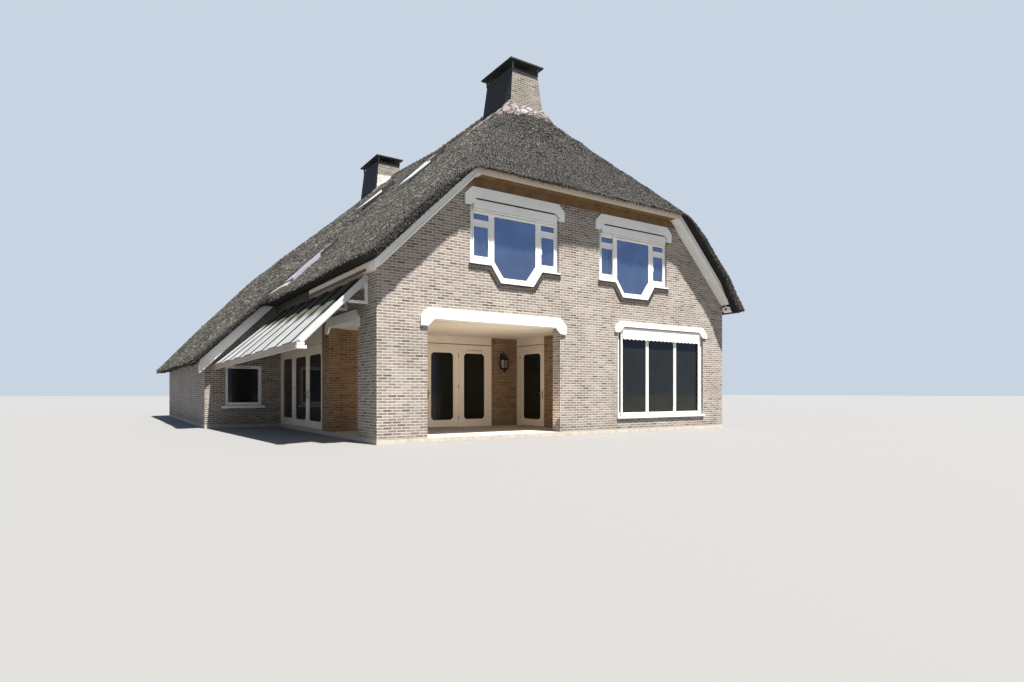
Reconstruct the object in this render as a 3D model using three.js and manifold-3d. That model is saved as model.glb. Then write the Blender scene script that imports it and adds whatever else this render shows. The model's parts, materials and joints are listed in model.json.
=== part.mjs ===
// A thatched cottage with a half-hipped gable, a corner loggia, a lean-to canopy and a low side wing.
// Millimetres, +Z up. The front gable faces -Y and the side with the canopy faces -X.
// Every size below is measured from the outer front left ground corner of the walls.
// The last lines put the origin in the middle of the main house, on the ground.

import * as THREE from 'three';
import { mergeVertices } from 'three/addons/utils/BufferGeometryUtils.js';
import { ConvexGeometry } from 'three/addons/geometries/ConvexGeometry.js';
import Module from 'manifold-3d';

const wasm = await Module();
wasm.setup();

// Main house
const houseWidth = 11200;
const houseLength = 19900;
const wallThickness = 300;
const gap = 0.3;
const floorTop = 100;
const storeyTop = 2950;
const ceilingLevel = 2720;
const wallTop = 3935;
const gableTop = 6470;
const midX = houseWidth / 2;

// Roof: a 45 degree slope, so a height is a level plus the distance in from the wall line
const thatchUnder = 3960;
const thatchOver = 4380;
const verge = 500;
const eaveCut = 3820;
const halfHipUnder = 6500;
const halfHipOver = 6920;
const boardOverhang = 290;
const boardBottom = 3720;
const fasciaBottom = 6030;

// Rear roof: thicker thatch, a bulge that grows over a few metres, and a full hip at the back
const wingFront = 8450;
const bulgeEnd = 12000;
const rearRidge = 10250;
const rearHipStart = 13500;
const rearHipSlope = 0.95;
const rearTail = houseLength + 370;
const bulgeX = 900;
const bulgeZ = 6080;
const rearUnder = 4280;
const rearLipUnder = 4395;

// Side wing
const wingWidth = 2160;
const wingEaveX = -2720;
const wingEaveZ = 1980;

// Corner loggia
const pierWidth = 1170;
const pierDepth = 1140;
const loggiaOpenRight = 4850;
const loggiaOpenBack = 3230;
const loggiaBack = 3400;
const loggiaRight = 5800;
const sidePierEnd = 3800;
const backDoorLeft = 2700;
const backDoorRight = 4950;
const sideDoorFront = 1950;

// Boards with dropped ends: how far they lap the wall, how deep the drop is and how big the chamfer
const beamLap = 170;
const beamDrop = 160;
const beamChamfer = 180;
const boardProud = 45;

// Windows
const gableWindowCentres = [3530, 7450];
const gableWindowHalf = 1280;
const gableWindowTop = 5600;
const casementBottom = 4080;
const tongueBottom = 3700;
const tongueTopHalf = 690;
const tongueBottomHalf = 420;
const frameFront = 60;
const frameBack = 130;
const paneThickness = 14;

// Doors
const leafThickness = 50;
const leafClearance = 5;
const leafBottom = floorTop + 12;
const barrelRadius = 7.7;
const barrelOut = 8;
const barrelLength = 110;
const sideUnitEnd = wingFront;
const sideHead = 2330;
const loggiaHead = 2470;

const palette = {
  brick: [0xa99686, 0.9],
  darkBrick: [0x5d5046, 0.92],
  concrete: [0xb9b3a8, 0.9],
  thatch: [0x6f675c, 0.96],
  whitePaint: [0xf0efea, 0.5],
  creamPaint: [0xe6ddc8, 0.5],
  glass: [0x1c2733, 0.08],
  clay: [0x8a5a45, 0.85],
  mortar: [0xd8cfc4, 0.9],
  slate: [0x24252a, 0.7],
  iron: [0x2b2b2d, 0.5],
  sheet: [0xdfe5e6, 0.35],
};

function standard(name) {
  const [color, roughness] = palette[name];
  return new THREE.MeshStandardMaterial({ name, color, roughness, metalness: 0 });
}

// Solids

function toSolid(geometry) {
  const bare = geometry.clone();
  for (const key of Object.keys(bare.attributes)) {
    if (key !== 'position') bare.deleteAttribute(key);
  }
  const merged = mergeVertices(bare, 1e-3);
  return new wasm.Manifold(new wasm.Mesh({
    numProp: 3,
    vertProperties: Float32Array.from(merged.attributes.position.array),
    triVerts: Uint32Array.from(merged.index.array),
  }));
}

function toGeometry(solid) {
  const mesh = solid.getMesh();
  const geometry = new THREE.BufferGeometry();
  geometry.setAttribute('position', new THREE.Float32BufferAttribute(mesh.vertProperties, 3));
  geometry.setIndex(Array.from(mesh.triVerts));
  geometry.computeVertexNormals();
  return geometry;
}

// Turns an outline into a solid along one axis: [x, z] along y, [y, z] along x, [x, y] along z
function extrude(outline, axis, from, to) {
  const shape = new THREE.Shape(outline.map(([u, v]) => new THREE.Vector2(u, v)));
  const geometry = new THREE.ExtrudeGeometry(shape, { depth: to - from, bevelEnabled: false });
  const turn = new THREE.Matrix4();
  if (axis === 'y') turn.set(1, 0, 0, 0, 0, 0, -1, to, 0, 1, 0, 0, 0, 0, 0, 1);
  if (axis === 'x') turn.set(0, 0, 1, from, 1, 0, 0, 0, 0, 1, 0, 0, 0, 0, 0, 1);
  if (axis === 'z') turn.set(1, 0, 0, 0, 0, 1, 0, 0, 0, 0, 1, from, 0, 0, 0, 1);
  return toSolid(geometry.applyMatrix4(turn));
}

function box(x0, x1, y0, y1, z0, z1) {
  const geometry = new THREE.BoxGeometry(x1 - x0, y1 - y0, z1 - z0);
  geometry.translate((x0 + x1) / 2, (y0 + y1) / 2, (z0 + z1) / 2);
  return toSolid(geometry);
}

function hull(points) {
  return toSolid(new ConvexGeometry(points.map((p) => new THREE.Vector3(...p))));
}

function rectangle(u0, u1, v0, v1) {
  return [[u0, v0], [u1, v0], [u1, v1], [u0, v1]];
}

// A pane with its corners cut off
function chamfered(u0, u1, v0, v1, cut) {
  return [
    [u0 + cut, v0], [u1 - cut, v0], [u1, v0 + cut], [u1, v1 - cut],
    [u1 - cut, v1], [u0 + cut, v1], [u0, v1 - cut], [u0, v0 + cut],
  ];
}

const group = new THREE.Group();

function add(name, solid, material) {
  const mesh = new THREE.Mesh(toGeometry(solid), standard(material));
  mesh.name = name;
  group.add(mesh);
}

// A board that spans an opening, with chamfered top corners and ends that drop beside it
function droppedBoard(start, end, bottom, top) {
  return [
    [start - beamLap, bottom - beamDrop], [start, bottom - beamDrop], [start + beamDrop, bottom],
    [end - beamDrop, bottom], [end, bottom - beamDrop], [end + beamLap, bottom - beamDrop],
    [end + beamLap, top - beamChamfer], [end + beamLap - beamChamfer, top],
    [start - beamLap + beamChamfer, top], [start - beamLap, top - beamChamfer],
  ];
}

// Frame members round panes, joined by a thin web where the glass is
function glazed(outline, panes, axis, from, to) {
  let frame = extrude(outline, axis, from, to);
  const middle = (from + to) / 2;
  for (const pane of panes) {
    frame = frame.subtract(extrude(pane, axis, from - 1, middle - paneThickness / 2));
    frame = frame.subtract(extrude(pane, axis, middle + paneThickness / 2, to + 1));
  }
  return frame;
}

// Floors

function floors() {
  const plan = [
    [0, 0], [houseWidth, 0], [houseWidth, houseLength], [-wingWidth, houseLength],
    [-wingWidth, wingFront], [0, wingFront],
  ];
  add('ground_floor', extrude(plan, 'z', 0, floorTop), 'concrete');
  add('upper_floor', box(
    wallThickness + gap, houseWidth - wallThickness - gap,
    wallThickness + gap, houseLength - wallThickness - gap, ceilingLevel, storeyTop - 60,
  ), 'creamPaint');
}

// Walls

function gableWindowOutline(centre, grow) {
  const half = gableWindowHalf + grow;
  const top = gableWindowTop + grow;
  const low = casementBottom - grow;
  return [
    [centre - half, low], [centre - tongueTopHalf - grow, low],
    [centre - tongueBottomHalf - grow, tongueBottom - grow],
    [centre + tongueBottomHalf + grow, tongueBottom - grow],
    [centre + tongueTopHalf + grow, low], [centre + half, low],
    [centre + half, top], [centre - half, top],
  ];
}

const groundWindow = { left: 6830, right: 10300, bottom: 450, top: 2850 };
const wingWindow = { left: -1600, right: -530, bottom: 690, top: 1930 };
const sideWindows = [[5200, 6900], [12800, 14500]];
const sideWindowLevels = [950, 2350];
const rearWindow = [4700, 6500];

function walls() {
  const low = floorTop + gap;
  const inner = wallThickness;
  const right = houseWidth;

  add('corner_pier', box(0, pierWidth, 0, pierDepth, low, ceilingLevel - gap), 'brick');

  const frontRight = box(loggiaOpenRight, right, 0, inner, low, storeyTop)
    .subtract(box(groundWindow.left, groundWindow.right, -1, inner + 1, groundWindow.bottom, groundWindow.top));
  add('front_wall_right', frontRight, 'brick');

  const run = gableTop - wallTop;
  const gable = [
    [0, storeyTop + gap], [right, storeyTop + gap], [right, wallTop],
    [right - run, gableTop], [run, gableTop], [0, wallTop],
  ];
  let front = extrude(gable, 'y', 0, inner);
  for (const centre of gableWindowCentres) {
    front = front.subtract(extrude(gableWindowOutline(centre, 0), 'y', -1, inner + 1));
  }
  add('front_gable_wall', front, 'brick');

  const gapped = inner + gap;
  add('left_wall_upper', box(0, inner, gapped, wingFront - gap, storeyTop + gap, wallTop), 'brick');
  add('left_wall_pier', box(0, inner, loggiaOpenBack, sidePierEnd, low, storeyTop), 'brick');
  add('loggia_back_wall_left', box(
    gapped, backDoorLeft - gap, loggiaBack, loggiaBack + inner, low, ceilingLevel - gap,
  ), 'brick');
  add('loggia_back_wall_right', box(
    backDoorRight + gap, loggiaRight + inner, loggiaBack, loggiaBack + inner, low, ceilingLevel - gap,
  ), 'brick');
  add('loggia_side_wall', box(
    loggiaRight, loggiaRight + inner, gapped, sideDoorFront - gap, low, ceilingLevel - gap,
  ), 'brick');

  let rightWall = box(right - inner, right, gapped, houseLength - gapped, low, wallTop);
  for (const [y0, y1] of sideWindows) {
    rightWall = rightWall.subtract(box(
      right - inner - 1, right + 1, y0, y1, sideWindowLevels[0], sideWindowLevels[1],
    ));
  }
  add('right_wall', rightWall, 'brick');

  const rearTop = 3730;
  const wingRearTop = rearUnder - wingWidth - 10;
  const rear = [
    [-wingWidth, low], [right, low], [right, rearTop],
    [rearTop - rearUnder + 10, rearTop], [-wingWidth, wingRearTop],
  ];
  add('rear_wall', extrude(rear, 'y', houseLength - inner, houseLength)
    .subtract(box(
      rearWindow[0], rearWindow[1], houseLength - inner - 1, houseLength + 1,
      sideWindowLevels[0], sideWindowLevels[1],
    )), 'brick');

  const wingFace = [
    [-wingWidth, low], [inner, low], [inner, wallTop], [wallTop - rearUnder + 10, wallTop],
    [-wingWidth, rearUnder - wingWidth - 10],
  ];
  add('wing_front_wall', extrude(wingFace, 'y', wingFront, wingFront + inner)
    .subtract(box(
      wingWindow.left, wingWindow.right, wingFront - 1, wingFront + inner + 1,
      wingWindow.bottom, wingWindow.top,
    )), 'brick');

  const wingWallTop = rearUnder - wingWidth - 10;
  add('wing_side_wall', extrude([
    [-wingWidth, low], [-wingWidth + inner, low], [-wingWidth + inner, wingWallTop + inner], [-wingWidth, wingWallTop],
  ], 'y', wingFront + gapped, houseLength - gapped), 'brick');
}

// Thatch

// g is half the gap left between neighbouring slabs; a negative one makes them overlap
function roofSlabs(g) {
  const far = houseWidth + 3000;
  const hipRun = halfHipOver - thatchOver;
  const hipY = midX - hipRun;

  const leftProfile = [
    [eaveCut - thatchUnder, eaveCut], [midX, midX + thatchUnder],
    [midX, midX + thatchOver], [eaveCut - thatchOver, eaveCut],
  ];
  const mirror = (profile) => profile.map(([x, z]) => [houseWidth - x, z]).reverse();
  const hipProfile = [
    [-verge, halfHipUnder - verge], [hipY, hipY + halfHipUnder],
    [hipY, hipY + halfHipOver], [-verge, halfHipOver - verge],
  ];
  const leftPlan = [
    [-3000, -verge], [hipRun - verge - g, -verge], [midX - g, hipY + g], [midX - g, wingFront - g], [-3000, wingFront - g],
  ];
  const rightPlan = [
    [houseWidth - hipRun + verge + g, -verge], [far, -verge], [far, wingFront - g],
    [midX + g, wingFront - g], [midX + g, hipY + g],
  ];
  const hipPlan = [
    [hipRun - verge + g, -verge], [houseWidth - hipRun + verge - g, -verge], [midX, hipY - g],
  ];
  const cut = (solid, plan) => solid.intersect(extrude(plan, 'z', 0, 12000));

  const left = cut(extrude(leftProfile, 'y', -verge, wingFront), leftPlan);
  const right = cut(extrude(mirror(leftProfile), 'y', -verge, wingFront), rightPlan);
  const hip = cut(extrude(hipProfile, 'x', -1000, houseWidth + 1000), hipPlan);

  // Rear slopes: each is the hull of its profile at the start and its fuller profile further back
  const hipRise = (y) => rearRidge - rearHipSlope * (y - rearHipStart);
  const stretch = 3000;
  const rearEnd = rearTail;
  const lower = (bulgeZ - wingEaveZ) / (bulgeX - wingEaveX);
  const cornerX = wingEaveX + (hipRise(rearEnd) - wingEaveZ) / lower;
  const kink = 300;
  const under = (x, y) => [x, y, Math.max(x + rearUnder, wingEaveZ)];
  const leftRearPoints = [
    [wingEaveX, wingFront, wingEaveZ], [kink, wingFront, kink + 4680], [midX, wingFront, midX + thatchOver],
    [wingEaveX, bulgeEnd, wingEaveZ], [bulgeX, bulgeEnd, bulgeZ], [midX, bulgeEnd, rearRidge],
    [wingEaveX, rearEnd, wingEaveZ], [bulgeX, rearEnd, bulgeZ], [midX, rearEnd, rearRidge],
    under(wingEaveZ - rearUnder, wingFront), under(wingEaveZ - rearUnder, rearEnd),
    under(midX, wingFront), under(midX, rearEnd),
  ];
  const kinkY = rearHipStart + (rearRidge - bulgeZ) / rearHipSlope;
  const leftRearPlan = [
    [-3500, wingFront + g], [midX - g, wingFront + g], [midX - g, rearHipStart], [bulgeX - g, kinkY],
    [cornerX - g, rearEnd], [-3500, rearEnd],
  ];
  const lipX = 2300;
  const lip = hull([
    [wingEaveX, wingFront - verge, wingEaveZ], [wingEaveX + 130, wingFront - verge, wingEaveX + 130 + rearLipUnder],
    [kink, wingFront - verge, kink + 4660], [lipX, wingFront - verge, lipX + rearLipUnder],
    [wingEaveX, wingFront + 2, wingEaveZ], [wingEaveX + 130, wingFront + 2, wingEaveX + 130 + rearLipUnder],
    [kink, wingFront + 2, kink + 4660], [lipX, wingFront + 2, lipX + rearLipUnder],
  ]);
  const leftRear = cut(hull(leftRearPoints), leftRearPlan).add(lip);

  const eaveX = houseWidth - (eaveCut - thatchOver);
  const innerX = houseWidth - (eaveCut - thatchUnder);
  const rightRearPoints = [
    [eaveX, wingFront, eaveCut], [midX, wingFront, midX + thatchOver],
    [eaveX, bulgeEnd, eaveCut], [midX, bulgeEnd, rearRidge],
    [eaveX, rearEnd + stretch, eaveCut], [midX, rearEnd + stretch, rearRidge],
    [innerX, wingFront, eaveCut], [innerX, rearEnd + stretch, eaveCut],
    [midX, wingFront, midX + thatchUnder], [midX, rearEnd + stretch, midX + thatchUnder],
  ];
  const rightSlope = (rearRidge - eaveCut) / (eaveX - midX);
  const hipTailY = rearHipStart + (rearRidge - eaveCut) / rearHipSlope;
  const rightRearPlan = [
    [midX + g, wingFront + g], [far, wingFront + g], [far, rearHipStart + (far - midX) * rightSlope / rearHipSlope],
    [midX + g, rearHipStart],
  ];
  const rightRear = cut(hull(rightRearPoints), rightRearPlan);

  const hipDepth = 420;
  const rearHipProfile = [
    [rearHipStart, rearRidge - hipDepth], [hipTailY - hipDepth / rearHipSlope, eaveCut], [hipTailY, eaveCut],
    [rearHipStart, rearRidge],
  ];
  const rearHipPlan = [
    [midX, rearHipStart + 2 * g], [far, rearHipStart + (far - midX) * rightSlope / rearHipSlope + 2 * g],
    [far, rearEnd + stretch], [cornerX + g, rearEnd + stretch], [cornerX + g, rearEnd], [bulgeX + g, kinkY + g],
  ];
  const rearHip = cut(extrude(rearHipProfile, 'x', -3000, far), rearHipPlan);
  return { left, right, hip, leftRear, rightRear, rearHip };
}

// Skylights: raised frames set through the thatch
const skylights = [
  { name: 'skylight_front', x0: 3450, x1: 4550, y0: 5900, y1: 6900, level: thatchOver, slope: 1 },
  { name: 'skylight_rear', x0: 3030, x1: 4080, y0: 8900, y1: 9800, level: 4780, slope: 0.95 },
  { name: 'skylight_low', x0: 40, x1: 1350, y0: 6800, y1: 7900, level: thatchOver, slope: 1 },
];
const skylightProud = 140;

function skylightProfile(light, grow) {
  const z = (x) => light.level + light.slope * x;
  const down = 425;
  const x0 = light.x0 - grow;
  const x1 = light.x1 + grow;
  return [[x0, z(x0) - down], [x1, z(x1) - down], [x1, z(x1) + skylightProud], [x0, z(x0) + skylightProud]];
}

function skylightSolid(light) {
  const border = 90;
  const well = 110;
  const frame = extrude(skylightProfile(light, 0), 'y', light.y0, light.y1);
  const z = (x) => light.level + light.slope * x + skylightProud;
  const x0 = light.x0 + border;
  const x1 = light.x1 - border;
  const recess = extrude([
    [x0, z(x0) - well], [x1, z(x1) - well], [x1, z(x1) + 200], [x0, z(x0) + 200],
  ], 'y', light.y0 + border, light.y1 - border);
  const below = extrude([
    [x0, z(x0) - 900], [x1, z(x1) - 900], [x1, z(x1) - well - 30], [x0, z(x0) - well - 30],
  ], 'y', light.y0 + border, light.y1 - border);
  return frame.subtract(recess).subtract(below);
}

// Chimneys

const mainChimney = {
  name: 'main_chimney', centreX: midX, centreY: 3320, baseX: 1150, baseY: 1600, topX: 880, topY: 1400,
  baseZ: 9350, topZ: 10560, low: 9040, capX: 1170, capY: 1680, capZ: 10640,
};
const rearChimney = {
  name: 'rear_chimney', centreX: 5450, centreY: 13390, baseX: 1170, baseY: 1900, topX: 920, topY: 1720,
  baseZ: 9700, topZ: 10900, low: 9330, capX: 1190, capY: 2000, capZ: 10980,
};
const capThickness = 110;

function taper(c, grow, bottom, top) {
  const at = (z) => {
    const f = Math.max(0, (z - c.baseZ) / (c.topZ - c.baseZ));
    return [
      c.baseX + (c.topX - c.baseX) * f + 2 * grow, c.baseY + (c.topY - c.baseY) * f + 2 * grow,
    ];
  };
  const levels = bottom < c.baseZ ? [bottom, c.baseZ, top] : [bottom, top];
  let solid = null;
  for (let i = 0; i + 1 < levels.length; i++) {
    const points = [];
    for (const z of [levels[i], levels[i + 1]]) {
      const [w, d] = at(z);
      for (const [sx, sy] of [[-1, -1], [1, -1], [1, 1], [-1, 1]]) {
        points.push([c.centreX + sx * w / 2, c.centreY + sy * d / 2, z]);
      }
    }
    solid = solid ? solid.add(hull(points)) : hull(points);
  }
  return solid;
}

// Mortar skirt that flares out over the thatch
function skirt(c) {
  const top = 9720;
  const points = [];
  for (const [grow, z] of [[320, c.low], [55, top]]) {
    for (const sx of [-1, 1]) {
      for (const sy of [-1, 1]) {
        points.push([c.centreX + sx * (c.baseX / 2 + grow), c.centreY + sy * (c.baseY / 2 + grow), z]);
      }
    }
  }
  return hull(points);
}

function chimneyCap(c) {
  const { centreX: x, centreY: y } = c;
  const slab = box(x - c.capX / 2, x + c.capX / 2, y - c.capY / 2, y + c.capY / 2, c.capZ, c.capZ + capThickness);
  const post = 70;
  let cap = slab;
  for (const sx of [-1, 1]) {
    for (const sy of [-1, 1]) {
      const px = x + sx * (c.topX / 2 - post);
      const py = y + sy * (c.topY / 2 - post);
      cap = cap.add(box(px - post / 2, px + post / 2, py - post / 2, py + post / 2, c.topZ + gap, c.capZ + 10));
    }
  }
  return cap;
}

// What is left above the roof after the slabs are cut away
function topBody(solid) {
  const bodies = solid.decompose();
  bodies.sort((a, b) => b.boundingBox().max[2] - a.boundingBox().max[2]);
  return bodies[0];
}

function hollowStack(c, bottom) {
  const flue = 170;
  const inside = box(
    c.centreX - c.topX / 2 + flue, c.centreX + c.topX / 2 - flue,
    c.centreY - c.topY / 2 + flue, c.centreY + c.topY / 2 - flue, c.topZ - 350, c.topZ + 50,
  );
  return taper(c, 0, bottom, c.topZ).subtract(inside);
}

function roof() {
  const slabs = roofSlabs(0.2);
  const cutters = roofSlabs(-1);
  const raised = (solid) => solid.translate([0, 0, gap]);
  const mainSlabs = [cutters.left, cutters.right, cutters.hip].map(raised);
  const rearSlabs = [cutters.leftRear, cutters.rightRear, cutters.rearHip].map(raised);

  let stack = hollowStack(mainChimney, mainChimney.low);
  let flashing = skirt(mainChimney);
  for (const slab of mainSlabs) {
    stack = stack.subtract(slab);
    flashing = flashing.subtract(slab);
  }
  flashing = flashing.subtract(taper(mainChimney, gap, mainChimney.low - 50, 9900));
  add('main_chimney_stack', topBody(stack), 'darkBrick');
  add('main_chimney_flashing', topBody(flashing), 'mortar');
  add('main_chimney_cap', chimneyCap(mainChimney), 'slate');

  let rearStack = hollowStack(rearChimney, rearChimney.low);
  for (const slab of rearSlabs) rearStack = rearStack.subtract(slab);
  add('rear_chimney_stack', topBody(rearStack), 'darkBrick');
  add('rear_chimney_cap', chimneyCap(rearChimney), 'slate');

  for (const light of skylights) {
    const shaft = extrude(skylightProfile(light, gap), 'y', light.y0 - gap, light.y1 + gap);
    const rear = light.y0 > wingFront;
    if (rear) slabs.leftRear = slabs.leftRear.subtract(shaft);
    else slabs.left = slabs.left.subtract(shaft);
    add(light.name, skylightSolid(light), 'whitePaint');
  }
  add('thatch_left', slabs.left, 'thatch');
  add('thatch_right_front', slabs.right, 'thatch');
  add('thatch_half_hip', slabs.hip, 'thatch');
  add('thatch_rear_left', slabs.leftRear, 'thatch');
  add('thatch_right_rear', slabs.rightRear, 'thatch');
  add('thatch_rear_hip', slabs.rearHip, 'thatch');

  // Clay ridge between the two chimneys
  const ridgeHalf = 170;
  const ridgeRise = 60;
  const shoulder = ridgeRise - ridgeHalf / 2;
  const ridge = (y, top) => [
    [midX - ridgeHalf, y, top - ridgeHalf * 1.02], [midX + ridgeHalf, y, top - ridgeHalf * 1.02],
    [midX - ridgeHalf, y, top - ridgeHalf + ridgeRise], [midX + ridgeHalf, y, top - ridgeHalf + ridgeRise],
    [midX - ridgeHalf / 2, y, top + shoulder], [midX + ridgeHalf / 2, y, top + shoulder],
    [midX, y, top + ridgeRise],
  ];
  const start = mainChimney.centreY + mainChimney.baseY / 2 + 325;
  const end = rearChimney.centreY - rearChimney.baseY / 2 - 8;
  const mid = midX + thatchOver;
  let cap = hull([...ridge(start, mid), ...ridge(wingFront, mid)])
    .add(hull([...ridge(wingFront, mid), ...ridge(bulgeEnd, rearRidge)]))
    .add(hull([...ridge(bulgeEnd, rearRidge), ...ridge(end, rearRidge)]));
  for (const slab of [...mainSlabs, ...rearSlabs]) cap = cap.subtract(slab);
  add('ridge_cap', topBody(cap), 'clay');
}

// Verge and eave boards

function boards() {
  const right = houseWidth;
  const start = -150;
  const joint = fasciaBottom - boardBottom;
  const clear = 8;
  const left = [
    [start, boardBottom - 110], [start + 110, boardBottom - 40], [joint, fasciaBottom],
    [joint - 105, thatchUnder - clear + joint - 105], [start, start + thatchUnder - clear],
  ];
  const mirrored = left.map(([x, z]) => [right - x, z]).reverse();
  add('barge_left', extrude(left, 'y', -boardOverhang, -gap), 'whitePaint');
  add('barge_right', extrude(mirrored, 'y', -boardOverhang, -gap), 'whitePaint');
  const fasciaTop = halfHipUnder - boardOverhang - clear;
  const mitre = joint - 105 + gap;
  const mitreZ = thatchUnder - clear + mitre;
  const corner = fasciaTop - thatchUnder + clear;
  const fascia = [
    [joint + gap, fasciaBottom], [right - joint - gap, fasciaBottom], [right - mitre, mitreZ],
    [right - corner, fasciaTop], [corner, fasciaTop], [mitre, mitreZ],
  ];
  add('half_hip_fascia', extrude(fascia, 'y', -boardOverhang, -gap), 'creamPaint');

  const deep = 150;
  const low = 3640;
  const top = eaveCut - 10;
  add('eave_box_left', box(-deep, -gap, gap, wingFront - boardOverhang - 10, low, top), 'creamPaint');
  add('eave_box_right', box(right + gap, right + deep, gap, houseLength, low, top), 'creamPaint');
  add('eave_box_rear', box(0, right, houseLength + gap, houseLength + 120, 3500, 3690), 'creamPaint');

  // The wing board stops under the eave of the main roof
  const wingBottom = 4040;
  const wingTop = rearLipUnder - 10;
  const wingEnd = -2330;
  const stop = eaveCut - 12;
  add('wing_verge_board', extrude([
    [wingEnd, wingBottom + wingEnd - 40], [wingEnd + 80, wingBottom + wingEnd + 40],
    [stop - wingBottom, stop], [stop - wingTop, stop], [wingEnd, wingTop + wingEnd],
  ], 'y', wingFront - boardOverhang, wingFront - gap), 'whitePaint');
}

// Windows in the walls

function gableWindow(name, centre) {
  const outline = gableWindowOutline(centre, -gap);
  const sideIn = 750;
  const sideOut = 1180;
  const panes = [
    [
      [centre - 600, 4170], [centre - 340, 3810], [centre + 340, 3810], [centre + 600, 4170],
      [centre + 600, 5320], [centre - 600, 5320],
    ],
  ];
  for (const side of [-1, 1]) {
    const inner = centre + side * sideIn;
    const outer = centre + side * sideOut;
    const u0 = Math.min(inner, outer);
    const u1 = Math.max(inner, outer);
    panes.push(rectangle(u0, u1, 4230, 4960));
    panes.push(rectangle(u0, u1, 5080, 5260));
  }
  let frame = extrude(outline, 'y', frameFront, frameBack);
  for (const pane of panes) frame = frame.subtract(extrude(pane, 'y', frameFront - 1, frameBack + 1));
  const half = gableWindowHalf - beamLap / 2;
  const lintel = extrude(
    droppedBoard(centre - gableWindowHalf + 20, centre + gableWindowHalf - 20, 5560, 5810), 'y', -boardProud, -gap,
  );
  const head = box(centre - half, centre + half, -10, frameBack - 5, 5565, gableWindowTop - gap);
  add(name, frame.add(lintel).add(head), 'whitePaint');
  const back = 25;
  add(`${name}_glass`, extrude(
    gableWindowOutline(centre, -gap - 40), 'y', frameBack + gap, frameBack + back,
  ), 'glass');
}

// The board over the ground window and the head piece behind it
function groundHead() {
  const { left, right, top } = groundWindow;
  const boardLow = top + 30;
  const board = droppedBoard(left + 40, right - 40, boardLow, boardLow + 130);
  return extrude(board, 'y', -boardProud, -gap)
    .add(box(left + 1, right - 1, -10, frameBack - 5, top - 60, top - gap));
}

function plainWindow(name, axis, u0, u1, v0, v1, from, to, lights, extra) {
  const border = 75;
  const bar = 70;
  const width = (u1 - u0 - 2 * border - (lights - 1) * bar) / lights;
  const panes = [];
  for (let i = 0; i < lights; i++) {
    const u = u0 + border + i * (width + bar);
    panes.push(rectangle(u, u + width, v0 + border, v1 - border));
  }
  const outline = rectangle(u0 + gap, u1 - gap, v0 + gap, v1 - gap);
  const frame = glazed(outline, panes, axis, from, to);
  add(name, extra ? frame.add(extra) : frame, 'whitePaint');
}

function windows() {
  gableWindow('gable_window_left', gableWindowCentres[0]);
  gableWindow('gable_window_right', gableWindowCentres[1]);
  const w = groundWindow;
  plainWindow('ground_window', 'y', w.left, w.right, w.bottom, w.top, frameFront, frameBack, 3, groundHead());
  const v = wingWindow;
  plainWindow('wing_window', 'y', v.left, v.right, v.bottom, v.top, wingFront + 30, wingFront + 100, 1);
  const [z0, z1] = sideWindowLevels;
  sideWindows.forEach(([y0, y1], i) => {
    plainWindow(`right_window_${i + 1}`, 'x', y0, y1, z0, z1, houseWidth - frameBack, houseWidth - frameFront, 2);
  });
  plainWindow('rear_window', 'y', rearWindow[0], rearWindow[1], z0, z1,
    houseLength - frameBack, houseLength - frameFront, 2);
}

// Loggia beams and doors

function beams() {
  const front = extrude(droppedBoard(pierWidth, loggiaOpenRight, ceilingLevel, storeyTop), 'y', -boardProud, -gap)
    .add(box(pierWidth + gap, loggiaOpenRight - gap, -10, wallThickness, ceilingLevel, storeyTop));
  add('loggia_front_beam', front, 'whitePaint');
  const side = extrude(droppedBoard(pierDepth, loggiaOpenBack, ceilingLevel, storeyTop), 'x', -boardProud, -gap)
    .add(box(-10, wallThickness, pierDepth + gap, loggiaOpenBack - gap, ceilingLevel, storeyTop));
  add('loggia_side_beam', side, 'whitePaint');
  add('corner_pier_top', box(0, wallThickness, wallThickness - 1, pierDepth, ceilingLevel, storeyTop)
    .add(box(0, pierWidth, 0, wallThickness, ceilingLevel, storeyTop)), 'brick');
}

const doorPaneCut = 70;

// Hinge barrels stand proud of the outer face, over the joint between leaf and frame
function hingeBarrels(axis, edge, side, top, face) {
  const u = edge + side * leafClearance / 2;
  const v = face - barrelOut;
  const turn = ([a, b]) => (axis === 'y' ? [a, b] : [b, a]);
  const round = [];
  for (let i = 0; i < 12; i++) {
    const a = (i + 0.5) * Math.PI / 6;
    const r = barrelRadius / Math.cos(Math.PI / 12);
    round.push([u + r * Math.cos(a), v + r * Math.sin(a)]);
  }
  const strap = rectangle(Math.min(u, edge - side * 90), Math.max(u, edge - side * 90), v, face + 2);
  const barrels = [];
  for (const z of [leafBottom + 200, (leafBottom + top - barrelLength) / 2, top - 200 - barrelLength]) {
    for (const outline of [round, strap]) {
      const plan = outline.map(turn);
      if (axis === 'x') plan.reverse();
      barrels.push(extrude(plan, 'z', z, z + barrelLength));
    }
  }
  return barrels;
}

function leafSolid(axis, u0, u1, top, face, hingeSide) {
  const stile = 150;
  const outline = rectangle(u0, u1, leafBottom, top);
  const pane = chamfered(u0 + stile, u1 - stile, leafBottom + 180, top - 170, doorPaneCut);
  let leaf = glazed(outline, [pane], axis, face, face + leafThickness);
  const edge = hingeSide > 0 ? u1 : u0;
  for (const barrel of hingeBarrels(axis, edge, hingeSide, top, face)) leaf = leaf.add(barrel);
  return leaf;
}

function doorFrame(axis, u0, u1, top, holes, panes, face) {
  let frame = glazed(rectangle(u0 + gap, u1 - gap, floorTop + gap, top), panes, axis, face, face + 75);
  for (const [h0, h1, head] of holes) {
    frame = frame.subtract(extrude(rectangle(h0, h1, floorTop - 50, head), axis, face - 1, face + 76));
  }
  return frame;
}

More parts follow.
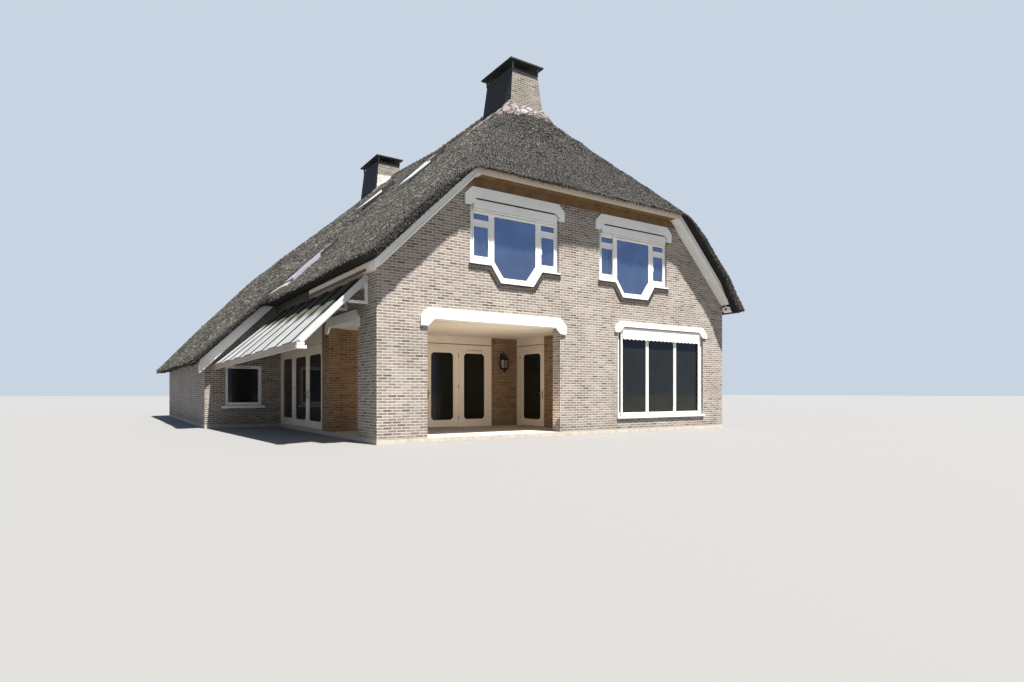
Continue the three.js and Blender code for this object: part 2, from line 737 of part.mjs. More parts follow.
// Each leaf runs between these two edges
const backLeaf = [2782, 3822];
const sideLeaf = [2010, 3208];
const pairFront = [3905, 5345];
const pairRear = [5352, 6790];

function doors() {
  const c = leafClearance;
  const set = 40;
  const backFace = loggiaBack + set;
  const hole = ([a, b], head) => [a - c, b + c, head + c];

  const fixed = chamfered(3990, 4720, 300, loggiaHead - 220, doorPaneCut);
  add('loggia_door_frame', doorFrame('y', backDoorLeft, backDoorRight, ceilingLevel - gap,
    [hole(backLeaf, loggiaHead - 50)], [fixed], backFace), 'creamPaint');
  add('loggia_door_leaf', leafSolid('y', ...backLeaf, loggiaHead - 50, backFace, 1), 'creamPaint');

  const rightFace = loggiaRight + set;
  add('loggia_side_door_frame', doorFrame('x', sideDoorFront, loggiaBack, ceilingLevel - gap,
    [hole(sideLeaf, loggiaHead - 50)], [], rightFace), 'creamPaint');
  add('loggia_side_door_leaf', leafSolid('x', ...sideLeaf, loggiaHead - 50, rightFace, 1), 'creamPaint');

  const face = 60;
  const rearLight = chamfered(7020, 8150, 300, sideHead - 180, doorPaneCut);
  add('side_door_frame', doorFrame('x', sidePierEnd, sideUnitEnd, storeyTop,
    [[pairFront[0] - c, pairRear[1] + c, sideHead - 20 + c]], [rearLight], face), 'creamPaint');
  add('side_door_leaf_front', leafSolid('x', ...pairFront, sideHead - 20, face, -1), 'creamPaint');
  add('side_door_leaf_rear', leafSolid('x', ...pairRear, sideHead - 20, face, 1), 'creamPaint');

  const lantern = box(5230, 5460, 3200, loggiaBack - gap, 1850, 2180)
    .add(box(5290, 5400, 3300, loggiaBack - gap, 1790, 2290));
  add('wall_lantern', lantern, 'iron');
}

// Lean-to canopy

const canopy = {
  front: 500, rear: wingFront - 2, topX: -20, topZ: 3600,
  frontLow: [-1450, 2140], rearLow: [-1930, 1920], sheet: 30, rafter: 90, rafters: 7,
};

function canopyPoint(y, f) {
  const t = (y - canopy.front) / (canopy.rear - canopy.front);
  const lowX = canopy.frontLow[0] + (canopy.rearLow[0] - canopy.frontLow[0]) * t;
  const lowZ = canopy.frontLow[1] + (canopy.rearLow[1] - canopy.frontLow[1]) * t;
  return [canopy.topX + (lowX - canopy.topX) * f, y, canopy.topZ + (lowZ - canopy.topZ) * f];
}

// A bar or sheet hung under the canopy plane: its four upper corners and its depth
function slabUnder(corners, depth) {
  return hull([...corners, ...corners.map(([x, y, z]) => [x, y, z - depth])]);
}

function canopyParts() {
  const { front, rear, sheet, rafter, rafters } = canopy;
  const steps = 6;
  let sheets = null;
  for (let i = 0; i < steps; i++) {
    const y0 = front + (rear - front) * i / steps;
    const y1 = front + (rear - front) * (i + 1) / steps;
    const piece = slabUnder([canopyPoint(y0, 0), canopyPoint(y1, 0), canopyPoint(y0, 1), canopyPoint(y1, 1)], sheet);
    sheets = sheets ? sheets.add(piece) : piece;
  }
  add('canopy_sheet', sheets, 'sheet');

  const drop = sheet + 6.4;
  const down = ([x, y, z]) => [x, y, z - drop];
  const bar = (y, width) => slabUnder([
    down(canopyPoint(y, 0)), down(canopyPoint(y + width, 0)),
    down(canopyPoint(y, 0.995)), down(canopyPoint(y + width, 0.995)),
  ], rafter);
  const last = rear - 60;
  let frame = slabUnder([
    down(canopyPoint(front, 0.93)), down(canopyPoint(last + 60, 0.93)),
    down(canopyPoint(front, 1)), down(canopyPoint(last + 60, 1)),
  ], rafter + 20);
  frame = frame.add(box(canopy.topX - 70, -gap, front, last + 60, canopy.topZ - 230, canopy.topZ - 105));
  const tieZ = 3000;
  for (let i = 0; i < rafters; i++) {
    const y = front + (last - front) * i / (rafters - 1);
    frame = frame.add(bar(y, 60));
    const post = box(-60, -gap, y, y + 60, tieZ, canopy.topZ - 120);
    const reach = (canopy.topZ - tieZ - 160) * 0.95;
    frame = frame.add(post).add(box(-reach, -gap, y + 5, y + 55, tieZ, tieZ + 60));
  }
  add('canopy_frame', frame, 'whitePaint');
}

floors();
walls();
roof();
boards();
windows();
beams();
doors();
canopyParts();

const house = new THREE.Group();
group.position.set(-midX, -houseLength / 2, 0);
house.add(group);

export default house;
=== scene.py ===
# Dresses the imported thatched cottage: reed roof, brickwork, joinery, glass, canopy, chimneys and small fittings
import json
import math

import bmesh
import bpy
from mathutils import Matrix, Vector, bvhtree, kdtree, noise


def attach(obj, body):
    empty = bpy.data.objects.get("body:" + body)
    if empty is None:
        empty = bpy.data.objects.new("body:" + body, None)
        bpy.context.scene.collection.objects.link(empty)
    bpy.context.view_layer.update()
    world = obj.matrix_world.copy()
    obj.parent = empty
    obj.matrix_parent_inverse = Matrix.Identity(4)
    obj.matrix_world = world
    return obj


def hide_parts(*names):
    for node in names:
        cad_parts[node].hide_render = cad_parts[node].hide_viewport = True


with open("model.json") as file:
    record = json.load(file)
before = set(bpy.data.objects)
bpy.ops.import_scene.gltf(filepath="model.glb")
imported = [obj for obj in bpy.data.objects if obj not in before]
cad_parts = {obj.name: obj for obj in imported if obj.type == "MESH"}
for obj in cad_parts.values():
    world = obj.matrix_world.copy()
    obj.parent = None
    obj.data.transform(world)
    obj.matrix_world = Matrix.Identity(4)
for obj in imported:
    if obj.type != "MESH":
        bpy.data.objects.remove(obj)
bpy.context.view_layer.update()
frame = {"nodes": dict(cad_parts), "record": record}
cottage = "cottage"


halfWidth, halfLength = 5.6, 9.95


# House measures start at the outer front left corner of the walls; the frame starts in the middle of the plan
def at(x, y, z):
    return Vector((x - halfWidth, y - halfLength, z))


def unit(value):
    return max(0.0, min(1.0, value))


# Small helpers for node trees

def link(tree, value, socket):
    if hasattr(value, "is_output"):
        tree.links.new(value, socket)
    elif isinstance(value, tuple) and len(value) == 3 and len(socket.default_value) == 4:
        socket.default_value = (*value, 1)
    else:
        socket.default_value = value


def calc(tree, operation, *values, clamp=False):
    node = tree.nodes.new("ShaderNodeMath")
    node.operation = operation
    node.use_clamp = clamp
    for socket, value in zip(node.inputs, values):
        link(tree, value, socket)
    return node.outputs[0]


def mixColour(tree, factor, first, second, mode="MIX"):
    node = tree.nodes.new("ShaderNodeMix")
    node.data_type = "RGBA"
    node.blend_type = mode
    for index, value in ((0, factor), (6, first), (7, second)):
        link(tree, value, node.inputs[index])
    return node.outputs[2]


def ramp(tree, factor, *stops):
    node = tree.nodes.new("ShaderNodeValToRGB")
    elements = node.color_ramp.elements
    while len(elements) < len(stops):
        elements.new(0.5)
    for element, (place, colour) in zip(elements, stops):
        element.position = place
        element.color = (*colour, 1) if isinstance(colour, tuple) else (colour, colour, colour, 1)
    tree.links.new(factor, node.inputs[0])
    return node.outputs[0]


def noiseAt(tree, vector, scale, detail=3.0, rough=0.55, output="Fac"):
    node = tree.nodes.new("ShaderNodeTexNoise")
    for name, value in (("Vector", vector), ("Scale", scale), ("Detail", detail), ("Roughness", rough)):
        link(tree, value, node.inputs[name])
    return node.outputs[output]


def combine(tree, x, y, z):
    node = tree.nodes.new("ShaderNodeCombineXYZ")
    for socket, value in zip(node.inputs, (x, y, z)):
        link(tree, value, socket)
    return node.outputs[0]


def separate(tree, vector):
    node = tree.nodes.new("ShaderNodeSeparateXYZ")
    tree.links.new(vector, node.inputs[0])
    return node.outputs


def objectPlace(tree):
    return tree.nodes.new("ShaderNodeTexCoord").outputs["Object"]


# Nothing up to the start, then a rise to one
def rise(tree, value, start, gain):
    return calc(tree, "MULTIPLY", calc(tree, "SUBTRACT", value, start), gain, clamp=True)


# Noise on the flat pattern, stretched across or up
def stretched(tree, flat, across, up, detail, rough, layer=0.0):
    place = combine(tree, calc(tree, "MULTIPLY", flat["Across"], across), calc(tree, "MULTIPLY", flat["Up"], up),
                    layer)
    return noiseAt(tree, place, 1.0, detail, rough)


# Shifts the place of a pattern by a noise, so that its lines waver
def bent(tree, place, scale, amount):
    node = tree.nodes.new("ShaderNodeVectorMath")
    node.operation = "MULTIPLY_ADD"
    for socket, value in zip(node.inputs, (noiseAt(tree, place, scale, 2.0, 0.5, "Color"), amount, place)):
        link(tree, value, socket)
    return node.outputs[0]


def newGroup(name, inputs, outputs):
    tree = bpy.data.node_groups.new(name, "ShaderNodeTree")
    kinds = {float: "NodeSocketFloat", tuple: "NodeSocketColor"}
    for title, value in inputs.items():
        socket = tree.interface.new_socket(name=title, in_out="INPUT", socket_type=kinds[type(value)])
        socket.default_value = (*value, 1) if isinstance(value, tuple) else value
    for title, kind in outputs.items():
        tree.interface.new_socket(name=title, in_out="OUTPUT", socket_type="NodeSocket" + kind)
    return tree, tree.nodes.new("NodeGroupInput").outputs, tree.nodes.new("NodeGroupOutput").inputs


def useGroup(tree, group, **values):
    node = tree.nodes.new("ShaderNodeGroup")
    node.node_tree = group
    for key, value in values.items():
        link(tree, value, node.inputs[key])
    return node.outputs


# A flat pattern plane for each face: across and up on walls, across and along on floors and slopes
def makeFlatPattern():
    tree, _, out = newGroup("flatPattern", {}, {"Plane": "Vector", "Across": "Float", "Up": "Float"})
    place = separate(tree, objectPlace(tree))
    facing = separate(tree, tree.nodes.new("ShaderNodeNewGeometry").outputs["True Normal"])
    size = [calc(tree, "ABSOLUTE", part) for part in facing]
    sideways = calc(tree, "GREATER_THAN", size[0], size[1])
    level = calc(tree, "GREATER_THAN", size[2], 0.92)
    across = calc(tree, "ADD", calc(tree, "MULTIPLY", place[1], sideways),
                  calc(tree, "MULTIPLY", place[0], calc(tree, "SUBTRACT", 1.0, sideways)))
    flatUp = calc(tree, "ADD", calc(tree, "MULTIPLY", place[0], sideways),
                  calc(tree, "MULTIPLY", place[1], calc(tree, "SUBTRACT", 1.0, sideways)))
    up = calc(tree, "ADD", calc(tree, "MULTIPLY", flatUp, level),
              calc(tree, "MULTIPLY", place[2], calc(tree, "SUBTRACT", 1.0, level)))
    link(tree, combine(tree, across, up, 0.0), out["Plane"])
    link(tree, across, out["Across"])
    link(tree, up, out["Up"])
    return tree


flatPattern = makeFlatPattern()


# Blotches and fine dirt that many finishes share
def makeWeather():
    tree, given, out = newGroup("weather", {"Size": 1.0, "Strength": 0.5}, {"Mask": "Float", "Fine": "Float"})
    place = objectPlace(tree)
    broad = tree.nodes.new("ShaderNodeTexNoise")
    link(tree, place, broad.inputs["Vector"])
    link(tree, given["Size"], broad.inputs["Scale"])
    broad.inputs["Detail"].default_value = 5
    broad.inputs["Roughness"].default_value = 0.62
    spread = rise(tree, broad.outputs["Fac"], 0.42, 4.0)
    link(tree, calc(tree, "MULTIPLY", spread, given["Strength"]), out["Mask"])
    link(tree, noiseAt(tree, place, 90.0, 4.0, 0.7), out["Fine"])
    return tree


weather = makeWeather()


# Bricks in running bond: tint differs from brick to brick, joints are recessed
def makeBrickBond():
    tree, given, out = newGroup(
        "brickBond",
        {"Length": 0.21, "Course": 0.062, "Joint": 0.0105, "Dark": (0.2, 0.15, 0.12), "Mean": (0.35, 0.28, 0.24),
         "Light": (0.5, 0.42, 0.36), "Mortar": (0.6, 0.56, 0.5)},
        {"Colour": "Color", "Height": "Float"})
    plane = useGroup(tree, flatPattern)["Plane"]
    bond = tree.nodes.new("ShaderNodeTexBrick")
    settings = {"Scale": 1.0, "Mortar Smooth": 0.35, "Bias": 0.0, "Color1": (0, 0, 0), "Color2": (1, 1, 1),
                "Mortar": (0.5, 0.5, 0.5), "Brick Width": given["Length"], "Row Height": given["Course"],
                "Mortar Size": given["Joint"], "Vector": bent(tree, plane, 24.0, (0.007, 0.007, 0))}
    for name, value in settings.items():
        link(tree, value, bond.inputs[name])
    pick = separate(tree, bond.outputs["Color"])[0]
    low = calc(tree, "MULTIPLY", pick, 6.0, clamp=True)
    high = rise(tree, pick, 0.4, 1.7)
    body = mixColour(tree, high, mixColour(tree, low, given["Dark"], given["Mean"]), given["Light"])
    grain = noiseAt(tree, plane, 130.0, 3.0, 0.7)
    body = mixColour(tree, 0.35, body, ramp(tree, grain, (0.3, 0.25), (0.75, 0.95)), "OVERLAY")
    joints = bond.outputs["Fac"]
    link(tree, mixColour(tree, joints, body, given["Mortar"]), out["Colour"])
    link(tree, calc(tree, "ADD", calc(tree, "SUBTRACT", 1.0, joints), calc(tree, "MULTIPLY", grain, 0.35)),
         out["Height"])
    return tree


brickBond = makeBrickBond()


# Reed stalks that run down the slope
def makeReedFibre():
    tree, given, out = newGroup(
        "reedFibre",
        {"Dark": (0.05, 0.045, 0.04), "Mean": (0.16, 0.14, 0.12), "Straw": (0.4, 0.34, 0.26), "Straws": 0.5},
        {"Colour": "Color", "Height": "Float"})
    flat = useGroup(tree, flatPattern)
    place = objectPlace(tree)
    stalks = stretched(tree, flat, 34.0, 4.5, 4.0, 0.65)
    clumps = stretched(tree, flat, 9.0, 5.0, 3.0, 0.6, 3.0)
    broad = noiseAt(tree, place, 0.45, 4.0, 0.55)
    tone = calc(tree, "ADD", calc(tree, "MULTIPLY", stalks, 0.62), calc(tree, "MULTIPLY", clumps, 0.38))
    base = ramp(tree, tone, (0.34, (0, 0, 0)), (0.68, (1, 1, 1)))
    body = mixColour(tree, base, given["Dark"], given["Mean"])
    bright = rise(tree, stalks, 0.56, 7.0)
    body = mixColour(tree, calc(tree, "MULTIPLY", bright, given["Straws"]), body, given["Straw"])
    body = mixColour(tree, 0.5, body, ramp(tree, broad, (0.3, 0.32), (0.7, 0.68)), "OVERLAY")
    link(tree, body, out["Colour"])
    link(tree, tone, out["Height"])
    return tree


reedFibre = makeReedFibre()


def shaderOf(material):
    return next(node for node in material.node_tree.nodes if node.type == "BSDF_PRINCIPLED")


def dulled(material, level):
    shaderOf(material).inputs["Specular IOR Level"].default_value = level
    return material


def newMaterial(name, roughness=0.6, metallic=0.0):
    material = bpy.data.materials.new(name)
    material.use_nodes = True
    tree, shader = material.node_tree, shaderOf(material)
    shader.inputs["Roughness"].default_value = roughness
    shader.inputs["Metallic"].default_value = metallic
    return material, tree, shader


def bumpFrom(tree, shader, height, distance, strength=1.0):
    bump = tree.nodes.new("ShaderNodeBump")
    bump.inputs["Distance"].default_value = distance
    bump.inputs["Strength"].default_value = strength
    link(tree, height, bump.inputs["Height"])
    link(tree, bump.outputs[0], shader.inputs["Normal"])


# leftShade: how much darker the faces are that look to the left; painted shade for the side that stands out of the
# sun
def brickMaterial(name, dark, mean, light, mortar, dirt=0.35, leftShade=0.0):
    material, tree, shader = newMaterial(name, 0.88)
    bond = useGroup(tree, brickBond, Dark=dark, Mean=mean, Light=light, Mortar=mortar)
    grime = useGroup(tree, weather, Size=0.7, Strength=dirt)
    colour = mixColour(tree, grime["Mask"], bond["Colour"], mixColour(tree, 0.55, bond["Colour"], dark))
    level = separate(tree, objectPlace(tree))[2]
    foot = rise(tree, 0.42, level, 2.2)
    splash = calc(tree, "MULTIPLY", foot, calc(tree, "ADD", grime["Mask"], 0.35), clamp=True)
    colour = mixColour(tree, splash, colour, mixColour(tree, 0.6, colour, (0.1, 0.09, 0.075)))
    if leftShade:
        # painted shade: faces that look to the left are darkened nearly to black
        left = separate(tree, tree.nodes.new("ShaderNodeNewGeometry").outputs["True Normal"])[0]
        leftShadeMask = calc(tree, "MULTIPLY", left, -leftShade, clamp=True)
        colour = mixColour(tree, leftShadeMask, colour, mixColour(tree, 0.08, (0.004, 0.004, 0.005), colour))
    link(tree, colour, shader.inputs["Base Color"])
    link(tree, calc(tree, "ADD", 0.8, calc(tree, "MULTIPLY", grime["Fine"], 0.16)), shader.inputs["Roughness"])
    bumpFrom(tree, shader, bond["Height"], 0.006)
    return material


# stalkShade: each stalk has a tone of its own; without it, faces that look down are darker, which is painted shade
# under the verges and eaves
def reedMaterial(name, dark, mean, straw, straws=0.5, depth=0.03, stalkShade=False):
    material, tree, shader = newMaterial(name, 0.9)
    fibre = useGroup(tree, reedFibre, Dark=dark, Mean=mean, Straw=straw, Straws=straws)
    if stalkShade:
        shade = tree.nodes.new("ShaderNodeAttribute")
        shade.attribute_name = "shade"
        tone = ramp(tree, shade.outputs["Fac"], (0.0, 0.05), (0.45, 0.2), (0.78, 0.5), (1.0, 1.0))
    else:
        # painted shade: the further the face's normal points down, the darker the reed
        lean = separate(tree, tree.nodes.new("ShaderNodeNewGeometry").outputs["Normal"])[2]
        tone = ramp(tree, lean, (0.05, (0.3, 0.27, 0.23)), (0.5, (1, 1, 1)))
    colour = mixColour(tree, 1.0, fibre["Colour"], tone, "MULTIPLY")
    spot = separate(tree, objectPlace(tree))
    broad = combine(tree, calc(tree, "MULTIPLY", spot[0], 0.75), spot[1], calc(tree, "MULTIPLY", spot[2], 0.3))
    soil = ramp(tree, noiseAt(tree, broad, 1.15, 4.0, 0.68),
                (0.37, (0.6, 0.61, 0.55)), (0.47, (0.86, 0.86, 0.82)), (0.6, (1, 1, 1)))
    colour = mixColour(tree, 1.0, colour, soil, "MULTIPLY")
    link(tree, colour, shader.inputs["Base Color"])
    bumpFrom(tree, shader, fibre["Height"], depth)
    return material


# Brushed paint over timber, with faint dirt
def paintMaterial(name, colour, shade, roughness=0.45, dirt=0.35, size=1.4):
    material, tree, shader = newMaterial(name, roughness)
    grime = useGroup(tree, weather, Size=size, Strength=dirt)
    strokes = stretched(tree, useGroup(tree, flatPattern), 5.0, 70.0, 3.0, 0.6)
    link(tree, mixColour(tree, grime["Mask"], colour, shade), shader.inputs["Base Color"])
    link(tree, calc(tree, "ADD", roughness - 0.08, calc(tree, "MULTIPLY", grime["Fine"], 0.2)),
         shader.inputs["Roughness"])
    bumpFrom(tree, shader, strokes, 0.0015, 0.6)
    return material


def plainMaterial(name, colour, shade, roughness=0.7, size=6.0, depth=0.003, metallic=0.0, dirt=0.7):
    material, tree, shader = newMaterial(name, roughness, metallic)
    grime = useGroup(tree, weather, Size=size, Strength=dirt)
    link(tree, mixColour(tree, grime["Mask"], colour, shade), shader.inputs["Base Color"])
    link(tree, calc(tree, "ADD", roughness - 0.1, calc(tree, "MULTIPLY", grime["Fine"], 0.25)),
         shader.inputs["Roughness"])
    bumpFrom(tree, shader, grime["Fine"], depth)
    return material


wallBrick = brickMaterial("wallBrick", (0.085, 0.06, 0.049), (0.178, 0.144, 0.123), (0.285, 0.247, 0.219),
                          (0.47, 0.445, 0.415))
# chimney brick; its faces that look to the left carry painted shade
stackBrick = brickMaterial("stackBrick", (0.034, 0.028, 0.022), (0.105, 0.093, 0.074), (0.2, 0.18, 0.149),
                           (0.29, 0.268, 0.235), 0.5, leftShade=0.98)
# painted shade: a darker, redder copy of the wall brick stands in for the shaded, warmly lit loggia walls and pier
loggiaBrick = brickMaterial("loggiaBrick", (0.085, 0.046, 0.022), (0.17, 0.099, 0.045), (0.25, 0.152, 0.075),
                            (0.3, 0.22, 0.15))
reedCoat = reedMaterial("reedCoat", (0.007, 0.006, 0.005), (0.038, 0.035, 0.03), (0.17, 0.155, 0.127))
whitePaint = paintMaterial("whitePaint", (0.8, 0.81, 0.8), (0.6, 0.59, 0.55))
# grey paint; on the upper skylight frames it is painted shade standing in for white frames in shade
dullPaint = paintMaterial("dullPaint", (0.5, 0.515, 0.53), (0.36, 0.36, 0.35))
agedPaint = paintMaterial("agedPaint", (0.36, 0.3, 0.2), (0.21, 0.17, 0.11))
# painted shade for the lower half of the front eave board, olive-brown
stainedPaint = paintMaterial("stainedPaint", (0.1, 0.085, 0.05), (0.05, 0.042, 0.026), 0.7, 0.8, 3.0)
# painted shade: violet-grey for the white frame of the low skylight as it looks in shade
greyPaint = paintMaterial("greyPaint", (0.3, 0.295, 0.345), (0.2, 0.195, 0.225))
creamPaint = paintMaterial("creamPaint", (0.76, 0.68, 0.58), (0.6, 0.52, 0.42))
slabConcrete = plainMaterial("slabConcrete", (0.46, 0.42, 0.37), (0.33, 0.3, 0.26), 0.85)
crackedMortar = plainMaterial("crackedMortar", (0.6, 0.575, 0.54), (0.34, 0.3, 0.27), 0.9, 7.0, 0.012, 0.0, 0.9)
darkSlab = plainMaterial("darkSlab", (0.011, 0.012, 0.014), (0.03, 0.03, 0.03), 0.75)
firedClay = plainMaterial("firedClay", (0.085, 0.06, 0.048), (0.035, 0.032, 0.027), 0.85, 3.0, 0.006, 0.0, 1.0)
blackIron = plainMaterial("blackIron", (0.02, 0.02, 0.021), (0.05, 0.045, 0.04), 0.45, 12.0, 0.002, 0.6)


# Weathered plastic sheet; up where it meets the wall it is dark moss with the thatch eave's shadow painted in, its
# lower edge toothed sheet by sheet
def sheetMaterial(name):
    material, tree, shader = newMaterial(name, 0.4)
    grime = useGroup(tree, weather, Size=1.2, Strength=0.7)
    place = objectPlace(tree)
    spot = separate(tree, place)
    streak = noiseAt(tree, combine(tree, 0.0, calc(tree, "MULTIPLY", spot[1], 14.0), spot[2]), 1.0, 3.0, 0.6)
    # the toothed edge of the painted eave shadow, one tooth to a sheet
    shadowTeeth = calc(tree, "FRACT", calc(tree, "MULTIPLY", spot[1], -0.95))
    level = calc(tree, "ADD", spot[2], calc(tree, "MULTIPLY", calc(tree, "SUBTRACT", streak, 0.5), 0.35))
    level = calc(tree, "ADD", level, calc(tree, "MULTIPLY", shadowTeeth, 0.22))
    level = calc(tree, "SUBTRACT", level, calc(tree, "MULTIPLY", spot[1], 0.035))
    # painted shadow of the eave: dark, rough and mossy above a wavy, toothed level
    paintedEaveShadow = rise(tree, level, 3.12, 7.0)
    clean = mixColour(tree, grime["Mask"], (0.235, 0.246, 0.245), (0.155, 0.163, 0.156))
    link(tree, mixColour(tree, paintedEaveShadow, clean, (0.05, 0.048, 0.036)), shader.inputs["Base Color"])
    link(tree, calc(tree, "ADD", calc(tree, "MULTIPLY", paintedEaveShadow, 0.5), calc(tree, "ADD", 0.34, calc(
        tree, "MULTIPLY", grime["Fine"], 0.16))), shader.inputs["Roughness"])
    bumpFrom(tree, shader, streak, 0.003)
    return material


sheetPlastic = sheetMaterial("sheetPlastic")


def glassMaterial(name, colour, through, mirror=0.0):
    material, tree, shader = newMaterial(name, 0.04, mirror)
    fine = useGroup(tree, weather, Size=2.0, Strength=0.4)
    link(tree, mixColour(tree, fine["Mask"], colour, tuple(min(1.0, part * 1.5) for part in colour)),
         shader.inputs["Base Color"])
    shader.inputs["Transmission Weight"].default_value = through
    shader.inputs["IOR"].default_value = 1.5
    return material


darkGlass = dulled(glassMaterial("darkGlass", (0.012, 0.013, 0.011), 0.0), 0.28)
skyGlass = glassMaterial("skyGlass", (0.16, 0.2, 0.27), 0.0, 0.85)

finishes = {
    "brickwork": wallBrick, "chimney_brick": stackBrick, "floor_slab": slabConcrete, "ceiling_boards": creamPaint,
    "thatch": reedCoat, "white_trim": whitePaint, "cream_trim": creamPaint, "window_glass": darkGlass,
    "ridge_tile": firedClay, "flashing_mortar": crackedMortar, "cap_slate": darkSlab, "lantern_iron": blackIron,
    "canopy_sheeting": sheetPlastic,
}
for part in frame["record"]["subparts"]:
    node = frame["nodes"][part["node"]]
    node.data.materials.clear()
    node.data.materials.append(finishes[part["material_slot"]])
# the loggia walls and the pier take the painted-shade copy of the brick
for title in ("loggia_back_wall_left", "loggia_back_wall_right", "loggia_side_wall", "left_wall_pier"):
    frame["nodes"][title].data.materials[0] = loggiaBrick
# painted shade: the white skylight frames take grey paints
for title, node in frame["nodes"].items():
    if title.startswith("skylight") and node.data.materials[0] is whitePaint:
        node.data.materials[0] = greyPaint if title == "skylight_low" else dullPaint
for title in ("gable_window_left_glass", "gable_window_right_glass"):
    frame["nodes"][title].data.materials[0] = skyGlass
print("finishes on", len(frame["nodes"]), "CAD nodes")


# Small helpers for meshes

def finish(piece, body=cottage, replaced=()):
    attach(piece, body)
    if replaced:
        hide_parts(*replaced)
    return piece


def inScene(name, data):
    piece = bpy.data.objects.new(name, data)
    bpy.context.scene.collection.objects.link(piece)
    return piece


def pieceFrom(name, verts, faces, material):
    data = bpy.data.meshes.new(name)
    data.from_pydata([tuple(v) for v in verts], [], faces)
    data.update()
    piece = inScene(name, data)
    data.materials.append(material)
    return piece


def facesOut(piece):
    mesh = bmesh.new()
    mesh.from_mesh(piece.data)
    bmesh.ops.remove_doubles(mesh, verts=mesh.verts, dist=0.00005)
    bmesh.ops.recalc_face_normals(mesh, faces=mesh.faces)
    mesh.to_mesh(piece.data)
    mesh.free()
    return piece


# Prisms in house measures: an outline of (u, v) pairs run along one axis
def prisms(name, parts, material, bevel=0.006, segments=2):
    mesh = bmesh.new()
    for outline, axis, start, end in parts:
        rings = []
        for along in (start, end):
            spots = {"x": [(along, u, v) for u, v in outline], "y": [(u, along, v) for u, v in outline],
                     "z": [(u, v, along) for u, v in outline]}[axis]
            rings.append([mesh.verts.new(at(*spot)) for spot in spots])
        count = len(outline)
        faces = [mesh.faces.new(rings[0]), mesh.faces.new(list(reversed(rings[1])))]
        for i in range(count):
            j = (i + 1) % count
            faces.append(mesh.faces.new((rings[0][j], rings[0][i], rings[1][i], rings[1][j])))
    bmesh.ops.recalc_face_normals(mesh, faces=mesh.faces)
    if bevel:
        sharp = [edge for edge in mesh.edges if edge.calc_face_angle(0) > 0.5]
        bmesh.ops.bevel(mesh, geom=sharp, offset=bevel, offset_type="OFFSET", segments=segments, affect="EDGES",
                        clamp_overlap=True, profile=0.5)
    data = bpy.data.meshes.new(name)
    mesh.to_mesh(data)
    mesh.free()
    piece = inScene(name, data)
    data.materials.append(material)
    return piece


def rectangle(u0, u1, v0, v1):
    return [(u0, v0), (u1, v0), (u1, v1), (u0, v1)]


# Geometry Nodes helpers

def newTree(name, inputs):
    tree = bpy.data.node_groups.new(name, "GeometryNodeTree")
    tree.interface.new_socket(name="Geometry", in_out="INPUT", socket_type="NodeSocketGeometry")
    kinds = {float: "NodeSocketFloat", int: "NodeSocketInt"}
    for title, value in inputs.items():
        socket = tree.interface.new_socket(name=title, in_out="INPUT", socket_type=kinds[type(value)])
        socket.default_value = value
    tree.interface.new_socket(name="Geometry", in_out="OUTPUT", socket_type="NodeSocketGeometry")
    return tree, tree.nodes.new("NodeGroupInput").outputs, tree.nodes.new("NodeGroupOutput").inputs


def geo(tree, kind, settings=None, **values):
    node = tree.nodes.new(kind)
    for key, value in (settings or {}).items():
        setattr(node, key, value)
    for key, value in values.items():
        socket = node.inputs[int(key[1:])] if key[0] == "i" and key[1:].isdigit() else node.inputs[key]
        link(tree, value, socket)
    return node.outputs


# Runs a tree on an object and keeps the result as a plain mesh
def grown(name, base, tree, values, material):
    modifier = base.modifiers.new("grow", "NODES")
    modifier.node_group = tree
    for item in tree.interface.items_tree:
        if item.in_out == "INPUT" and item.name in values:
            modifier[item.identifier] = values[item.name]
    base.data.update()
    depsgraph = bpy.context.evaluated_depsgraph_get()
    data = bpy.data.meshes.new_from_object(base.evaluated_get(depsgraph))
    base.modifiers.remove(modifier)
    data.name = name
    data.materials.clear()
    data.materials.append(material)
    return inScene(name, data)


# Thatch

thatch = {
    "voxel": 0.11,  # grid of the soft shell
    "smoothing": 5,
    "swell": 0.03,  # broad waves
    "lumps": 0.016,
    "streaks": 0.012,
    "hipRound": 0.25,  # how broadly the two front hips are rounded
    "hipThin": 0.27,  # how much thinner the half hip gets towards its eave
    "hipLip": 0.075,  # how much the lower lip of the half hip is cut back
    "rightDrop": 0.22,  # how far the right eave hangs down
    "rightHeel": 0.13,  # and how much further at the wall
    "lip": 0.2,  # width of the close-clipped border
    "depth": 0.42,  # thickness of the reed, measured upright
    "ridge": 9.98,  # level where the side slopes meet
    "hipFoot": 6.92,  # level of the half hip over the front wall
    "frontEnd": -1.5,  # where the front part of the roof ends in the frame
    "underside": -0.35,  # upward part of a normal below which a face looks down
    "cutEdge": 0.42,  # and below which it belongs to a cut edge
}
thatchNodes = ("thatch_left", "thatch_right_front", "thatch_half_hip", "thatch_rear_left", "thatch_right_rear",
               "thatch_rear_hip")


# Level of the outer thatch over the front part of the house
def roofLevel(x, y, shift=0.0, sharp=False):
    side = thatch["ridge"] - abs(x - halfWidth) + shift
    front = thatch["hipFoot"] + y + shift
    if sharp:
        return min(side, front)
    spread = thatch["hipRound"]
    front -= thatch["hipThin"] * unit((2.6 - y) / 3.1)
    return -spread * math.log(math.exp(-side / spread) + math.exp(-front / spread))


